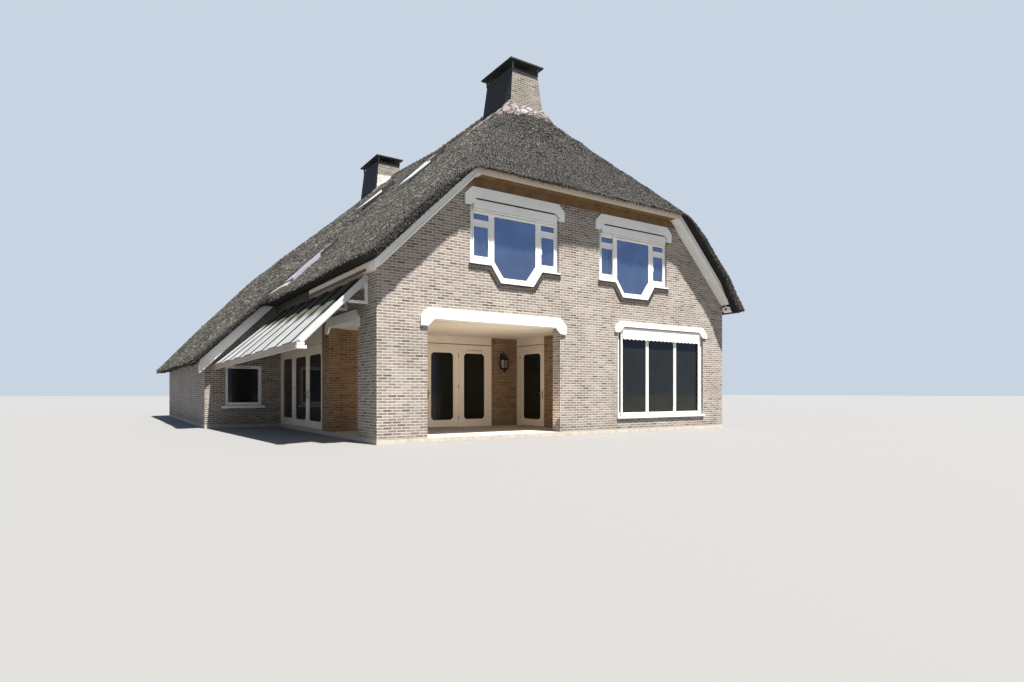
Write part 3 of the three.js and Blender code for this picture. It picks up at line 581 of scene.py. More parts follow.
def thatchShell():
    whole = bmesh.new()
    for name in thatchNodes:
        slab = bmesh.new()
        slab.from_mesh(frame["nodes"][name].data)
        bmesh.ops.remove_doubles(slab, verts=slab.verts, dist=0.0001)
        slab.normal_update()
        for vert in slab.verts:
            vert.co += vert.normal * 0.002
        data = bpy.data.meshes.new("slab")
        slab.to_mesh(data)
        slab.free()
        whole.from_mesh(data)
        bpy.data.meshes.remove(data)
    data = bpy.data.meshes.new("slabs")
    whole.to_mesh(data)
    whole.free()
    holder = inScene("slabs", data)
    remesh = holder.modifiers.new("remesh", "REMESH")
    remesh.mode = "VOXEL"
    remesh.voxel_size = thatch["voxel"]
    smooth = holder.modifiers.new("smooth", "SMOOTH")
    smooth.factor = 0.5
    smooth.iterations = thatch["smoothing"]
    depsgraph = bpy.context.evaluated_depsgraph_get()
    shell = bpy.data.meshes.new_from_object(holder.evaluated_get(depsgraph))
    bpy.data.objects.remove(holder)
    moves = []
    for vert in shell.vertices:
        normal, spot = vert.normal, vert.co.copy()
        across = spot.y if abs(normal.x) > abs(normal.y) else spot.x
        wave = noise.noise(spot * 0.45) * thatch["swell"]
        lump = noise.noise(spot * 2.6 + Vector((7, 3, 1))) * thatch["lumps"]
        streak = noise.noise(Vector((across * 6, spot.z * 1.3, 2))) * thatch["streaks"]
        if spot.y < thatch["frontEnd"]:
            x, y = spot.x + halfWidth, spot.y + halfLength
            share = unit((spot.z - roofLevel(x, y, -thatch["depth"], sharp=True)) / thatch["depth"])
            spot.z += share * (roofLevel(x, y) - roofLevel(x, y, sharp=True))
            if abs(x - halfWidth) < 3.06 - y:
                spot.z += (1 - share) * thatch["hipLip"] * unit((0.3 - y) / 0.5)
        if spot.x > 4:
            heel = thatch["rightHeel"] * unit((6.15 - spot.x) / 0.45)
            fade = unit((8.6 - spot.y) / 2.4)
            spot.z -= fade * (thatch["rightDrop"] + heel) * unit((4.5 - spot.z) / 0.68)
        moves.append(spot + normal * (wave + lump + streak - 0.002))
    for vert, spot in zip(shell.vertices, moves):
        vert.co = spot
    shell.name = "thatchShell"
    for face in shell.polygons:
        face.use_smooth = True
    shell.materials.clear()
    shell.materials.append(reedCoat)
    piece = inScene("thatchShell", shell)
    return finish(piece, replaced=thatchNodes)


# One stalk: thin where it dives into the roof, thick at its cut end
def stalkMesh():
    verts = [(0, 0, -0.3), (1, -0.5, 0), (1, 0.5, 0), (1, 0, 0.9)]
    faces = [(0, 2, 1), (0, 1, 3), (0, 3, 2), (1, 2, 3)]
    data = bpy.data.meshes.new("stalk")
    data.from_pydata(verts, [], faces)
    return inScene("stalk", data)


def makeStalkTree(stalk):
    tree, given, out = newTree("stalkScatter", {
        "Density": 60.0, "Length": 0.3, "Width": 0.02, "Lift": 6.0, "Lean": 0.2, "Region": 0, "Seed": 1})
    region = geo(tree, "GeometryNodeInputNamedAttribute", {"data_type": "INT"}, Name="region")
    same = geo(tree, "FunctionNodeCompare", {"data_type": "INT", "operation": "EQUAL"},
               i2=region["Attribute"], i3=given["Region"])["Result"]
    spread = geo(tree, "GeometryNodeDistributePointsOnFaces", {"distribute_method": "RANDOM"},
                 Mesh=given["Geometry"], Selection=same, Density=given["Density"], Seed=given["Seed"])
    normal = spread["Normal"]
    # the way down the slope, in the face
    fall = geo(tree, "ShaderNodeVectorMath", {"operation": "PROJECT"}, i0=(0.0, 0.0, -1.0), i1=normal)["Vector"]
    down = geo(tree, "ShaderNodeVectorMath", {"operation": "SUBTRACT"}, i0=(0.0, 0.0, -1.0), i1=fall)["Vector"]
    upright = geo(tree, "FunctionNodeAlignRotationToVector", {"axis": "Z"}, Vector=normal)["Rotation"]
    along = geo(tree, "FunctionNodeAlignRotationToVector", {"axis": "X", "pivot_axis": "Z"},
                Rotation=upright, Vector=down)["Rotation"]
    tilt = geo(tree, "FunctionNodeRandomValue", {"data_type": "FLOAT_VECTOR"},
               Seed=given["Seed"])
    lean = calc(tree, "MULTIPLY", given["Lean"], -1.0)
    low = geo(tree, "ShaderNodeCombineXYZ", None, X=-0.6, Y=calc(tree, "MULTIPLY", given["Lean"], -0.45), Z=lean)
    high = geo(tree, "ShaderNodeCombineXYZ", None, X=0.6, Y=calc(tree, "MULTIPLY", given["Lean"], 0.3),
               Z=given["Lean"])
    tree.links.new(low["Vector"], tilt["Value"].node.inputs[0])
    tree.links.new(high["Vector"], tilt["Value"].node.inputs[1])
    turned = geo(tree, "FunctionNodeRotateRotation", {"rotation_space": "LOCAL"},
                 Rotation=along, **{"Rotate By": tilt["Value"]})["Rotation"]
    size = geo(tree, "FunctionNodeRandomValue", {"data_type": "FLOAT"}, i2=0.6, i3=1.35,
               Seed=calc(tree, "ADD", given["Seed"], 7.0))
    length = calc(tree, "MULTIPLY", given["Length"], size[1])
    thick = calc(tree, "MULTIPLY", given["Width"], size[1])
    scale = geo(tree, "ShaderNodeCombineXYZ", None, X=length, Y=thick, Z=thick)["Vector"]
    source = geo(tree, "GeometryNodeObjectInfo", {"transform_space": "ORIGINAL"}, Object=stalk)["Geometry"]
    placed = geo(tree, "GeometryNodeInstanceOnPoints", None, Points=spread["Points"], Instance=source,
                 Rotation=turned, Scale=scale)["Instances"]
    shade = geo(tree, "FunctionNodeRandomValue", {"data_type": "FLOAT"}, Seed=calc(tree, "ADD", given["Seed"], 3.0))
    marked = geo(tree, "GeometryNodeStoreNamedAttribute", {"data_type": "FLOAT", "domain": "INSTANCE"},
                 Geometry=placed, Name="shade", Value=shade[1])["Geometry"]
    real = geo(tree, "GeometryNodeRealizeInstances", None, Geometry=marked)["Geometry"]
    done = geo(tree, "GeometryNodeSetMaterial", None, Geometry=real, Material=reedStraw)["Geometry"]
    tree.links.new(done, out["Geometry"])
    return tree


reedStraw = reedMaterial("reedStraw", (0.062, 0.058, 0.052), (0.178, 0.166, 0.145), (0.47, 0.434, 0.368),
                         0.8, 0.004, True)

# Regions of the roof, each grown as its own piece: a name, how dense, how long the stalks are and how they lean
stalkFields = (
    ("reedsFrontLeft", 440.0, 0.13, 0.024, 0.2),
    ("reedsFrontHip", 640.0, 0.12, 0.022, 0.2),
    ("reedsRearLeft", 240.0, 0.18, 0.029, 0.2),
    ("reedsRight", 240.0, 0.18, 0.029, 0.2),
    ("reedsRearHip", 240.0, 0.18, 0.029, 0.2),
    ("reedsEdge", 900.0, 0.045, 0.018, 0.4),
    ("reedsLip", 900.0, 0.06, 0.018, 0.15),
)


# 0 left front, 1 half hip, 2 left rear, 3 right, 4 rear hip, 5 cut edges, 9 underside and shafts; 6 is the lip
def regionOf(face):
    normal, spot = face.normal, face.center
    if normal.z < thatch["underside"]:
        return 9
    if normal.z < thatch["cutEdge"]:
        return 5
    if abs(normal.y) > abs(normal.x):
        return 1 if normal.y < 0 else 4
    if normal.x > 0:
        return 3
    return 0 if spot.y < thatch["frontEnd"] else 2


def growStalks(shell):
    region = shell.data.attributes.new("region", "INT", "FACE")
    kinds = [regionOf(face) for face in shell.data.polygons]
    cut = [face for face, kind in zip(shell.data.polygons, kinds) if kind in (5, 9)]
    tree = kdtree.KDTree(len(cut))
    for index, face in enumerate(cut):
        tree.insert(face.center, index)
    tree.balance()
    for index, face in enumerate(shell.data.polygons):
        if kinds[index] < 5 and tree.find(face.center)[2] < thatch["lip"]:
            kinds[index] = 6
    region.data.foreach_set("value", kinds)
    stalk = stalkMesh()
    tree = makeStalkTree(stalk)
    for index, (name, density, length, width, lean) in enumerate(stalkFields):
        piece = grown(name, shell, tree, {"Density": density, "Length": length, "Width": width, "Lean": lean,
                                          "Region": index, "Seed": 11 + index}, reedStraw)
        finish(piece)
        print(name, len(piece.data.polygons), "faces")
    bpy.data.objects.remove(stalk)


roofShell = thatchShell()
print("thatch shell", len(roofShell.data.polygons), "faces")
reedTop = bvhtree.BVHTree.FromPolygons([vert.co for vert in roofShell.data.vertices],
                                       [tuple(face.vertices) for face in roofShell.data.polygons])
growStalks(roofShell)


# Repeats one small block along a line: X follows the line, Y looks the given way
def makeCourseTree():
    tree, given, out = newTree("courseAlong", {"Pitch": 0.062, "Jitter": 0.06, "Facing X": 0.0, "Facing Y": -1.0,
                                               "Facing Z": 0.0, "Seed": 3})
    line = geo(tree, "GeometryNodeMeshToCurve", None, Mesh=given["Geometry"])["Curve"]
    even = geo(tree, "GeometryNodeResampleCurve", None, Curve=line)["Curve"]
    even.node.mode = "LENGTH"
    link(tree, given["Pitch"], even.node.inputs["Length"])
    points = geo(tree, "GeometryNodeCurveToPoints", {"mode": "EVALUATED"}, Curve=even)
    facing = geo(tree, "ShaderNodeCombineXYZ", None, X=given["Facing X"], Y=given["Facing Y"], Z=given["Facing Z"])
    outward = geo(tree, "FunctionNodeAlignRotationToVector", {"axis": "Y"}, Vector=facing["Vector"])["Rotation"]
    along = geo(tree, "FunctionNodeAlignRotationToVector", {"axis": "X", "pivot_axis": "Y"},
                Rotation=outward, Vector=points["Tangent"])["Rotation"]
    size = geo(tree, "FunctionNodeRandomValue", {"data_type": "FLOAT"}, Seed=given["Seed"],
               i2=calc(tree, "SUBTRACT", 1.0, given["Jitter"]), i3=calc(tree, "ADD", 1.0, given["Jitter"]))[1]
    scale = geo(tree, "ShaderNodeCombineXYZ", None, X=1.0, Y=size, Z=size)["Vector"]
    block = geo(tree, "GeometryNodeObjectInfo", {"transform_space": "ORIGINAL"})
    placed = geo(tree, "GeometryNodeInstanceOnPoints", None, Points=points["Points"], Instance=block["Geometry"],
                 Rotation=along, Scale=scale)["Instances"]
    real = geo(tree, "GeometryNodeRealizeInstances", None, Geometry=placed)["Geometry"]
    coat = geo(tree, "GeometryNodeSetMaterial", None, Geometry=real)["Geometry"]
    tree.links.new(coat, out["Geometry"])
    return tree, block["Geometry"].node, coat.node


courseTree, courseBlock, courseCoat = makeCourseTree()


def smallBlock(size, bevel):
    half = [part / 2 for part in size]
    block = prisms("block", [(rectangle(-half[0], half[0], -half[1], half[1]), "z", -half[2], half[2])], whitePaint,
                   bevel, 1)
    block.data.transform(Matrix.Translation(-at(0, 0, 0)))
    return block


# size: along the line, out of the face, across the line
def course(name, points, size, pitch, facing, material, bevel=0.004, jitter=0.05, block=None,
           replaced=()):
    block = block or smallBlock(size, bevel)
    courseBlock.inputs["Object"].default_value = block
    courseCoat.inputs["Material"].default_value = material
    data = bpy.data.meshes.new("line")
    data.from_pydata([tuple(at(*point)) for point in points], [(i, i + 1) for i in range(len(points) - 1)], [])
    holder = inScene("line", data)
    piece = grown(name, holder, courseTree, {"Pitch": pitch, "Jitter": jitter, "Facing X": facing[0],
                                             "Facing Y": facing[1], "Facing Z": facing[2]}, material)
    bpy.data.objects.remove(holder)
    bpy.data.objects.remove(block)
    return finish(piece, replaced=replaced)


# very dark brick for the course under the gable window sills; partly its own dark brick, partly painted shade from
# the sill edge above
sillBrick = brickMaterial("sillBrick", (0.024, 0.018, 0.015), (0.046, 0.036, 0.029), (0.072, 0.058, 0.047),
                          (0.066, 0.055, 0.045))
shadowGap = plainMaterial("shadowGap", (0.02, 0.017, 0.014), (0.035, 0.03, 0.025), 0.8, 20.0, 0.001)
ochreBoards = paintMaterial("ochreBoards", (0.185, 0.108, 0.04), (0.095, 0.053, 0.021), 0.6, 0.8, 3.0)

# Windows in the gable

gableWindow = {
    "centres": {"gableWindowLeft": 3.53, "gableWindowRight": 7.45},
    "casement": (0.75, 1.18),  # from the middle of the window
    "lowerSash": (4.23, 4.96),
    "upperSash": (5.08, 5.26),
    "sash": 0.02,  # width of the inner frames
    "sashProud": 0.012,
    "frameFace": 0.06,
    "screenBox": (5.3, 5.53),
    "sillBrick": (0.052, 0.085, 0.105),
    "glassForward": 0.05,
}


# A thin frame round an opening
def ringParts(u0, u1, v0, v1, width, axis, start, end):
    return [(rectangle(u0, u0 + width, v0, v1), axis, start, end),
            (rectangle(u1 - width, u1, v0, v1), axis, start, end),
            (rectangle(u0 + width, u1 - width, v0, v0 + width), axis, start, end),
            (rectangle(u0 + width, u1 - width, v1 - width, v1), axis, start, end)]


def gableJoinery(name, centre):
    face = gableWindow["frameFace"]
    sash, proud = gableWindow["sash"], gableWindow["sashProud"]
    parts = []
    for side in (-1, 1):
        u0, u1 = sorted(centre + side * part for part in gableWindow["casement"])
        parts += ringParts(u0, u1, *gableWindow["lowerSash"], sash, "y", face - proud, face + 0.04)
        parts += ringParts(u0, u1, *gableWindow["upperSash"], sash * 0.6, "y", face - proud, face + 0.03)
        parts += ringParts(u0 - 0.02, u1 + 0.02, 4.975, 5.065, 0.03, "y", face - 0.006, face + 0.01)
        handle = centre + side * 0.77
        parts.append((rectangle(handle - 0.008, handle + 0.008, 4.5, 4.62), "y", face - 0.03, face - 0.01))
    finish(prisms(name + "Sashes", parts, whitePaint, 0.003, 1))
    low, high = gableWindow["screenBox"]
    box = [(rectangle(centre - 1.2, centre + 1.2, low + 0.035, high), "y", -0.035, 0.07),
           (rectangle(centre - 1.2, centre + 1.2, low, low + 0.026), "y", -0.02, 0.07),
           (rectangle(centre - 1.2, centre + 1.2, low - 0.075, low - 0.012), "y", 0.035, 0.07)]
    finish(prisms(name + "ScreenBox", box, whitePaint, 0.008, 2))
    gap = [(rectangle(centre - 1.17, centre + 1.13, high + 0.004, high + 0.024), "y", -0.047, -0.02),
           ([(centre + 1.13, high + 0.004), (centre + 1.245, high - 0.1), (centre + 1.262, high - 0.086),
             (centre + 1.14, high + 0.024)], "y", -0.047, -0.044)]
    finish(prisms(name + "HeadGap", gap, shadowGap, 0, 1))
    node = {"gableWindowLeft": "gable_window_left_glass", "gableWindowRight": "gable_window_right_glass"}[name]
    data = frame["nodes"][node].data.copy()
    data.transform(Matrix.Translation((0, -gableWindow["glassForward"], 0)))
    data.name = name + "Glass"
    glass = inScene(data.name, data)
    finish(glass, replaced=(node,))
    edge = [(centre - 1.3, 4.05), (centre - 0.735, 4.05), (centre - 0.47, 3.665), (centre + 0.47, 3.665),
            (centre + 0.735, 4.05), (centre + 1.3, 4.05), (centre + 1.3, 4.085), (centre + 0.68, 4.085),
            (centre + 0.415, 3.7), (centre - 0.415, 3.7), (centre - 0.68, 4.085), (centre - 1.3, 4.085)]
    finish(prisms(name + "SillEdge", [(edge, "y", -0.045, 0.075)], whitePaint, 0.005, 2))
    line = [(centre - 1.3, 0.013, 4.0), (centre - 0.767, 0.013, 4.0), (centre - 0.498, 0.013, 3.61),
            (centre + 0.498, 0.013, 3.61), (centre + 0.767, 0.013, 4.0), (centre + 1.3, 0.013, 4.0)]
    course(name + "SillCourse", line, gableWindow["sillBrick"], 0.0575, (0, -1, 0), sillBrick)


for title, centre in gableWindow["centres"].items():
    gableJoinery(title, centre)
print("gable windows")

# Panes of the doors and of the plain windows


def chamfered(u0, u1, v0, v1, cut):
    return [(u0 + cut, v0), (u1 - cut, v0), (u1, v0 + cut), (u1, v1 - cut), (u1 - cut, v1), (u0 + cut, v1),
            (u0, v1 - cut), (u0, v0 + cut)]


# Moves a measure inwards by the width of a bead
def inwards(value, centre, width=0.018):
    away = centre - value
    return value + away * width / max(abs(away), 0.05) * (abs(away) > 0.01)


# Dark panes on both faces of the thin panel, with a bead round each
def panes(name, outlines, axis, face, depth, body=cottage, bead=creamPaint):
    middle = face + depth / 2
    glass = []
    for outline in outlines:
        glass.append((outline, axis, middle - 0.0125, middle - 0.0075))
        glass.append((outline, axis, middle + 0.0075, middle + 0.0125))
    finish(prisms(name + "Glass", glass, darkGlass, 0, 1), body)
    beads = []
    for outline in outlines:
        centreU = sum(u for u, _ in outline) / len(outline)
        centreV = sum(v for _, v in outline) / len(outline)
        for i, first in enumerate(outline):
            second = outline[(i + 1) % len(outline)]
            inner = [(inwards(u, centreU), inwards(v, centreV)) for u, v in (second, first)]
            beads.append(([first, second, *inner], axis, face - 0.004, middle - 0.013))
    finish(prisms(name + "Beads", beads, bead, 0.002, 1), body)


def doorPanes():
    def leaf(u0, u1, top):
        return chamfered(u0 + 0.15, u1 - 0.15, 0.292, top - 0.17, 0.07)
    panes("loggiaDoor", [leaf(2.782, 3.822, 2.42)], "y", 3.44, 0.05, "loggia_leaf")
    panes("loggiaFixed", [chamfered(3.99, 4.72, 0.3, 2.25, 0.07)], "y", 3.44, 0.075)
    panes("loggiaSideDoor", [leaf(2.01, 3.208, 2.42)], "x", 5.84, 0.05, "loggia_side_leaf")
    panes("sideDoorFront", [leaf(3.905, 5.345, 2.31)], "x", 0.06, 0.05, "side_leaf_front")
    panes("sideDoorRear", [leaf(5.352, 6.79, 2.31)], "x", 0.06, 0.05, "side_leaf_rear")
    panes("sideFixed", [chamfered(7.02, 8.15, 0.3, 2.15, 0.07)], "x", 0.06, 0.075)


def windowPanes(name, axis, u0, u1, v0, v1, start, end, lights):
    border, bar = 0.075, 0.07
    width = (u1 - u0 - 2 * border - (lights - 1) * bar) / lights
    outlines = [rectangle(u0 + border + i * (width + bar), u0 + border + i * (width + bar) + width, v0 + border,
                          v1 - border) for i in range(lights)]
    panes(name, outlines, axis, start, end - start, bead=whitePaint)


doorPanes()
windowPanes("groundWindow", "y", 6.83, 10.3, 0.45, 2.85, 0.06, 0.13, 3)
windowPanes("wingWindow", "y", -1.6, -0.53, 0.69, 1.93, 8.48, 8.55, 1)
windowPanes("rightWindowOne", "x", 5.2, 6.9, 0.95, 2.35, 11.07, 11.14, 2)
windowPanes("rightWindowTwo", "x", 12.8, 14.5, 0.95, 2.35, 11.07, 11.14, 2)
windowPanes("rearWindow", "y", 4.7, 6.5, 0.95, 2.35, 19.77, 19.84, 2)
print("panes")

# Canopy

canopy = {
    "front": 0.5, "rear": 8.448, "top": (-0.02, 3.6), "frontLow": (-1.45, 2.14), "rearLow": (-1.93, 1.92),
    "panels": 15, "step": 0.03, "rib": 0.011, "ribs": 7,
    "boardJoint": 4.6,  # where two lengths of gutter board meet
}


def canopyPoint(y, f):
    t = (y - canopy["front"]) / (canopy["rear"] - canopy["front"])
    low = [a + (b - a) * t for a, b in zip(canopy["frontLow"], canopy["rearLow"])]
    return canopy["top"][0] + (low[0] - canopy["top"][0]) * f, canopy["top"][1] + (low[1] - canopy["top"][1]) * f


# Ribbed sheets side by side, every other one a step higher
def canopySheets():
    front, rear, count = canopy["front"], canopy["rear"], canopy["panels"]
    columns, rows = [], 6
    for panel in range(count):
        start = front + (rear - front) * panel / count
        width = (rear - front) / count
        for i in range(canopy["ribs"] * 4 + 1):
            turn = i / (canopy["ribs"] * 4)
            lift = canopy["step"] * (panel % 2) + canopy["rib"] * math.sin(turn * canopy["ribs"] * 2 * math.pi)
            columns.append((start + width * turn, lift))
    verts, faces = [], []
    for y, lift in columns:
        for row in range(rows + 1):
            x, z = canopyPoint(y, row / rows)
            for down in (0, 0.006):
                verts.append(at(x - (lift - down) * 0.75, y, z + (lift - down) * 0.66))
    step = (rows + 1) * 2
    last = (len(columns) - 1) * step
    for i in range(len(columns) - 1):
        for row in range(rows):
            a, b = i * step + row * 2, (i + 1) * step + row * 2
            faces.append((a, a + 2, b + 2, b))
            faces.append((a + 1, b + 1, b + 3, a + 3))
        for row, flip in ((0, True), (rows, False)):
            a, b = i * step + row * 2, (i + 1) * step + row * 2
            faces.append((a, b, b + 1, a + 1) if flip else (a, a + 1, b + 1, b))
    for row in range(rows):
        a = row * 2
        faces.append((a, a + 1, a + 3, a + 2))
        faces.append((last + a, last + a + 2, last + a + 3, last + a + 1))
    piece = pieceFrom("canopySheets", verts, faces, sheetPlastic)
    finish(facesOut(piece), replaced=("canopy_sheet",))


def canopyTrim():
    near, far = canopy["front"], canopy["rear"]
    verts, faces = [], []
    for y0, y1 in ((near + 0.01, canopy["boardJoint"] - 0.002), (canopy["boardJoint"] + 0.002, far - 0.01)):
        start = len(verts)
        for y in (y0, y1):
            x, z = canopyPoint(y, 1.0)
            verts += [at(x - 0.028, y, z - 0.135), at(x + 0.004, y, z - 0.135), at(x + 0.004, y, z - 0.012),
                      at(x - 0.028, y, z - 0.002)]
        sides = ((0, 3, 2, 1), (4, 5, 6, 7), (0, 1, 5, 4), (1, 2, 6, 5), (2, 3, 7, 6), (3, 0, 4, 7))
        faces += [tuple(i + start for i in side) for side in sides]
    finish(pieceFrom("gutterBoard", verts, faces, agedPaint))
    x, z = canopyPoint(near, 1.0)
    caps = [(rectangle(x - 0.06, x + 0.14, z - 0.16, z - 0.09), "y", near - 0.07, near + 0.05),
            (rectangle(x - 0.045, x + 0.1, z - 0.082, z - 0.03), "y", near - 0.06, near + 0.04)]
    finish(prisms("gutterEnd", caps, whitePaint, 0.012, 2))
    topX, topZ = canopyPoint(near, 0.0)
    slope = [(px - 0.714 * away, pz + 0.7 * away)
             for px, pz, away in ((topX, topZ, 0.05), (x, z, 0.05), (x, z, -0.07), (topX, topZ, -0.07))]
    finish(prisms("canopyEdge", [(slope, "y", near - 0.05, near - 0.008)], dullPaint, 0.006, 2))


canopySheets()
canopyTrim()
print("canopy")

# Chimneys and ridge

chimney = {
    "main": (5.6, 3.32, 0.575, 0.8),  # middle and half sizes of the foot
    "rear": (5.45, 13.39, 0.585, 0.95),
    "skirtOut": 0.34,
    "rearOut": 0.17,
    "caps": {"mainCap": (5.6, 3.32, 0.88, 1.4, 10.56, 1.17, 1.68, "main_chimney_cap"),
             "rearCap": (5.45, 13.39, 0.92, 1.72, 10.9, 1.19, 2.0, "rear_chimney_cap")},
    "slab": 0.05,  # thickness of the covering slab
    "capShade": 0.075,  # painted shade: dark band below the rim, standing in for the shade under the slab
    "skirtLevel": 9.45,  # top of the mortar where the roof lies lower
    "ragged": 0.045,
    "patchTop": 10.3,
    "tilePitch": 0.33,
}


def crackedMaterial(name):
    material, tree, shader = newMaterial(name, 0.92)
    place = objectPlace(tree)
    grime = useGroup(tree, weather, Size=5.0, Strength=0.8)
    cells = tree.nodes.new("ShaderNodeTexVoronoi")
    cells.feature = "DISTANCE_TO_EDGE"
    cells.inputs["Scale"].default_value = 4.0
    link(tree, bent(tree, place, 5.0, (0.35, 0.35, 0.35)), cells.inputs["Vector"])
    solid = rise(tree, cells.outputs["Distance"], 0.03, 9.0)
    patch = rise(tree, noiseAt(tree, place, 2.4, 4.0, 0.6), 0.46, 7.0)
    body = mixColour(tree, patch, (0.25, 0.24, 0.23), (0.165, 0.118, 0.1))
    body = mixColour(tree, grime["Mask"], body, mixColour(tree, 0.55, body, (0.055, 0.046, 0.04)))
    link(tree, mixColour(tree, solid, (0.012, 0.01, 0.009), body), shader.inputs["Base Color"])
    height = calc(tree, "ADD", calc(tree, "MULTIPLY", solid, 0.8), calc(tree, "MULTIPLY", grime["Fine"], 0.5))
    bumpFrom(tree, shader, height, 0.012)
    return material


skirtMortar = crackedMaterial("skirtMortar")


def smoothed(piece):
    for face in piece.data.polygons:
        face.use_smooth = True
    return piece


# Cross-sections joined into a closed tube; a loop joins the last one to the first
def tubeFrom(name, rings, material, loop=False):
    size, verts, faces = len(rings[0]), [spot for ring in rings for spot in ring], []
    for i in range(len(rings) if loop else len(rings) - 1):
        k = (i + 1) % len(rings)
        for j in range(size):
            m = (j + 1) % size
            faces.append((i * size + j, i * size + m, k * size + m, k * size + j))
    if not loop:
        faces.append(tuple(range(size)))
        faces.append(tuple(reversed(range(len(verts) - size, len(verts)))))
    return facesOut(pieceFrom(name, verts, faces, material))


# A closed slab from a grid of points and how far its back lies behind them
def slabFrom(name, grid, back, material):
    cols, verts, faces = len(grid[0]), [spot for row in grid for spot in row], []
    count, rows = len(verts), len(grid)
    verts += [spot + back for spot in verts]
    for row in range(rows - 1):
        for col in range(cols - 1):
            a = row * cols + col
            quad = (a, a + 1, a + cols + 1, a + cols)
            faces += [quad, tuple(count + i for i in reversed(quad))]
    rim = [*range(cols), *range(2 * cols - 1, rows * cols, cols), *range(rows * cols - 2, (rows - 1) * cols - 1, -1),
           *range((rows - 2) * cols, 0, -cols)]
    faces += [(j, i, i + count, j + count) for i, j in zip(rim, rim[1:] + rim[:1])]
    return facesOut(pieceFrom(name, verts, faces, material))


def shellLevel(x, y):
    hit = reedTop.ray_cast(at(x, y, 20), Vector((0, 0, -1)))[0]
    return hit.z if hit else 9.0


# Hand-made mortar round the foot of a stack: it hugs the bricks and thins out over the reed
def mortarSkirt(name, stack, width, least, roofAt, inset):
    middleX, middleY, halfX, halfY = chimney[stack]
    corners = [(-1, -1), (1, -1), (1, 1), (-1, 1)]
    rings = []
    for turn, (sx, sy) in enumerate(corners):
        tx, ty = corners[(turn + 1) % 4]
        steps = 22 if sx != tx else 30
        face = Vector(((sx + tx) / 2, (sy + ty) / 2, 0))
        for i in range(steps):
            t = i / steps
            spot = Vector((middleX + (sx + (tx - sx) * t) * halfX, middleY + (sy + (ty - sy) * t) * halfY, 0))
            edge = min(t, 1 - t) * steps
            away = face + Vector((sx, sy, 0)) * max(0, 0.4 - 0.1 * edge) * (t < 0.5) \
                + Vector((tx, ty, 0)) * max(0, 0.4 - 0.1 * edge) * (t > 0.5)
            wild = noise.noise(spot * 3.1)
            out = width * (1 + 0.3 * wild)
            base = roofAt(*(spot + away * inset).xy)
            nearCorner = (spot - Vector((middleX - halfX, middleY - halfY, 0))).length
            bump = 0.09 * math.exp(-(nearCorner / 0.16) ** 2)
            top = max(least, base + 0.07) + bump + chimney["ragged"] * noise.noise(spot * 7 + Vector((3, 1, 0)))
            ring = [at(*(spot - away * 0.05).xy, base - 0.2),
                    at(*(spot - away * 0.05).xy, top - 0.004), at(*spot.xy, top)]
            for k in range(1, 6):
                f = k / 5
                place = spot + away * out * f
                low = roofAt(*(spot + away * out).xy) + 0.055
                z = top + (low - top) * f + 0.035 * math.sin(math.pi * f) + 0.012 * noise.noise(place * 9)
                ring.append(at(place.x, place.y, max(z, roofAt(place.x, place.y) + 0.05)))
            place = spot + away * out
            ring.append(at(place.x, place.y, roofAt(place.x, place.y) - 0.12))
            rings.append(ring)
    piece = smoothed(tubeFrom(name, rings, skirtMortar, loop=True))
    finish(piece, replaced=("main_chimney_flashing",) if stack == "main" else ())


# White patch on the front of the rear stack, from the roof line up
def mortarPatch():
    middleX, middleY, halfX, halfY = chimney["rear"]
    grid = []
    for row in range(8):
        line = []
        for col in range(17):
            across = col / 16 * 2 - 1
            top = chimney["patchTop"] + 0.03 * across + 0.04 * noise.noise(Vector((across * 4, 0, 5)))
            foot = 10.1 - 0.887 * abs(middleX + across * halfX - halfWidth)
            z = foot + (top - foot) * row / 7
            lean = max(0, z - 9.7)
            wall = middleY - (halfY - 0.075 * lean)
            line.append(at(middleX + across * (halfX - 0.104 * lean + 0.004), wall - 0.016 - 0.004 * noise.noise(
                Vector((across * 5, z * 6, 1))), z))
        grid.append(line)
    finish(slabFrom("mortarPatch", grid, Vector((0, 0.03, 0)), crackedMortar))


# Half-round ridge tile with a collar: X along the ridge, Y up
def ridgeTile():
    rings = []
    for x, radius in ((-0.17, 0.176), (-0.12, 0.178), (-0.115, 0.16), (0.175, 0.154)):
        outer = [(x, radius * 1.25 * math.sin(i * math.pi / 10), radius * math.cos(i * math.pi / 10))
                 for i in range(11)]
        inner = [(x, part[1] * 0.88, part[2] * 0.9) for part in reversed(outer)]
        rings.append([Vector(part) for part in outer + inner])
    return tubeFrom("ridgeTile", rings, firedClay)


def ridgeTiles():
    line = [(5.6, 4.42, 9.845), (5.6, 8.45, 9.845), (5.6, 12.0, 10.115), (5.6, 12.4, 10.115)]
    course("ridgeTiles", line, None, chimney["tilePitch"], (0, 0, 1), firedClay, jitter=0.02,
           block=ridgeTile(), replaced=("ridge_cap",))
    grid = [[at(x, y, z + 0.02) for x in (5.47, 5.6, 5.73)] for _, y, z in line]
    finish(slabFrom("ridgeBedding", grid, Vector((0, 0, -0.14)), crackedMortar))
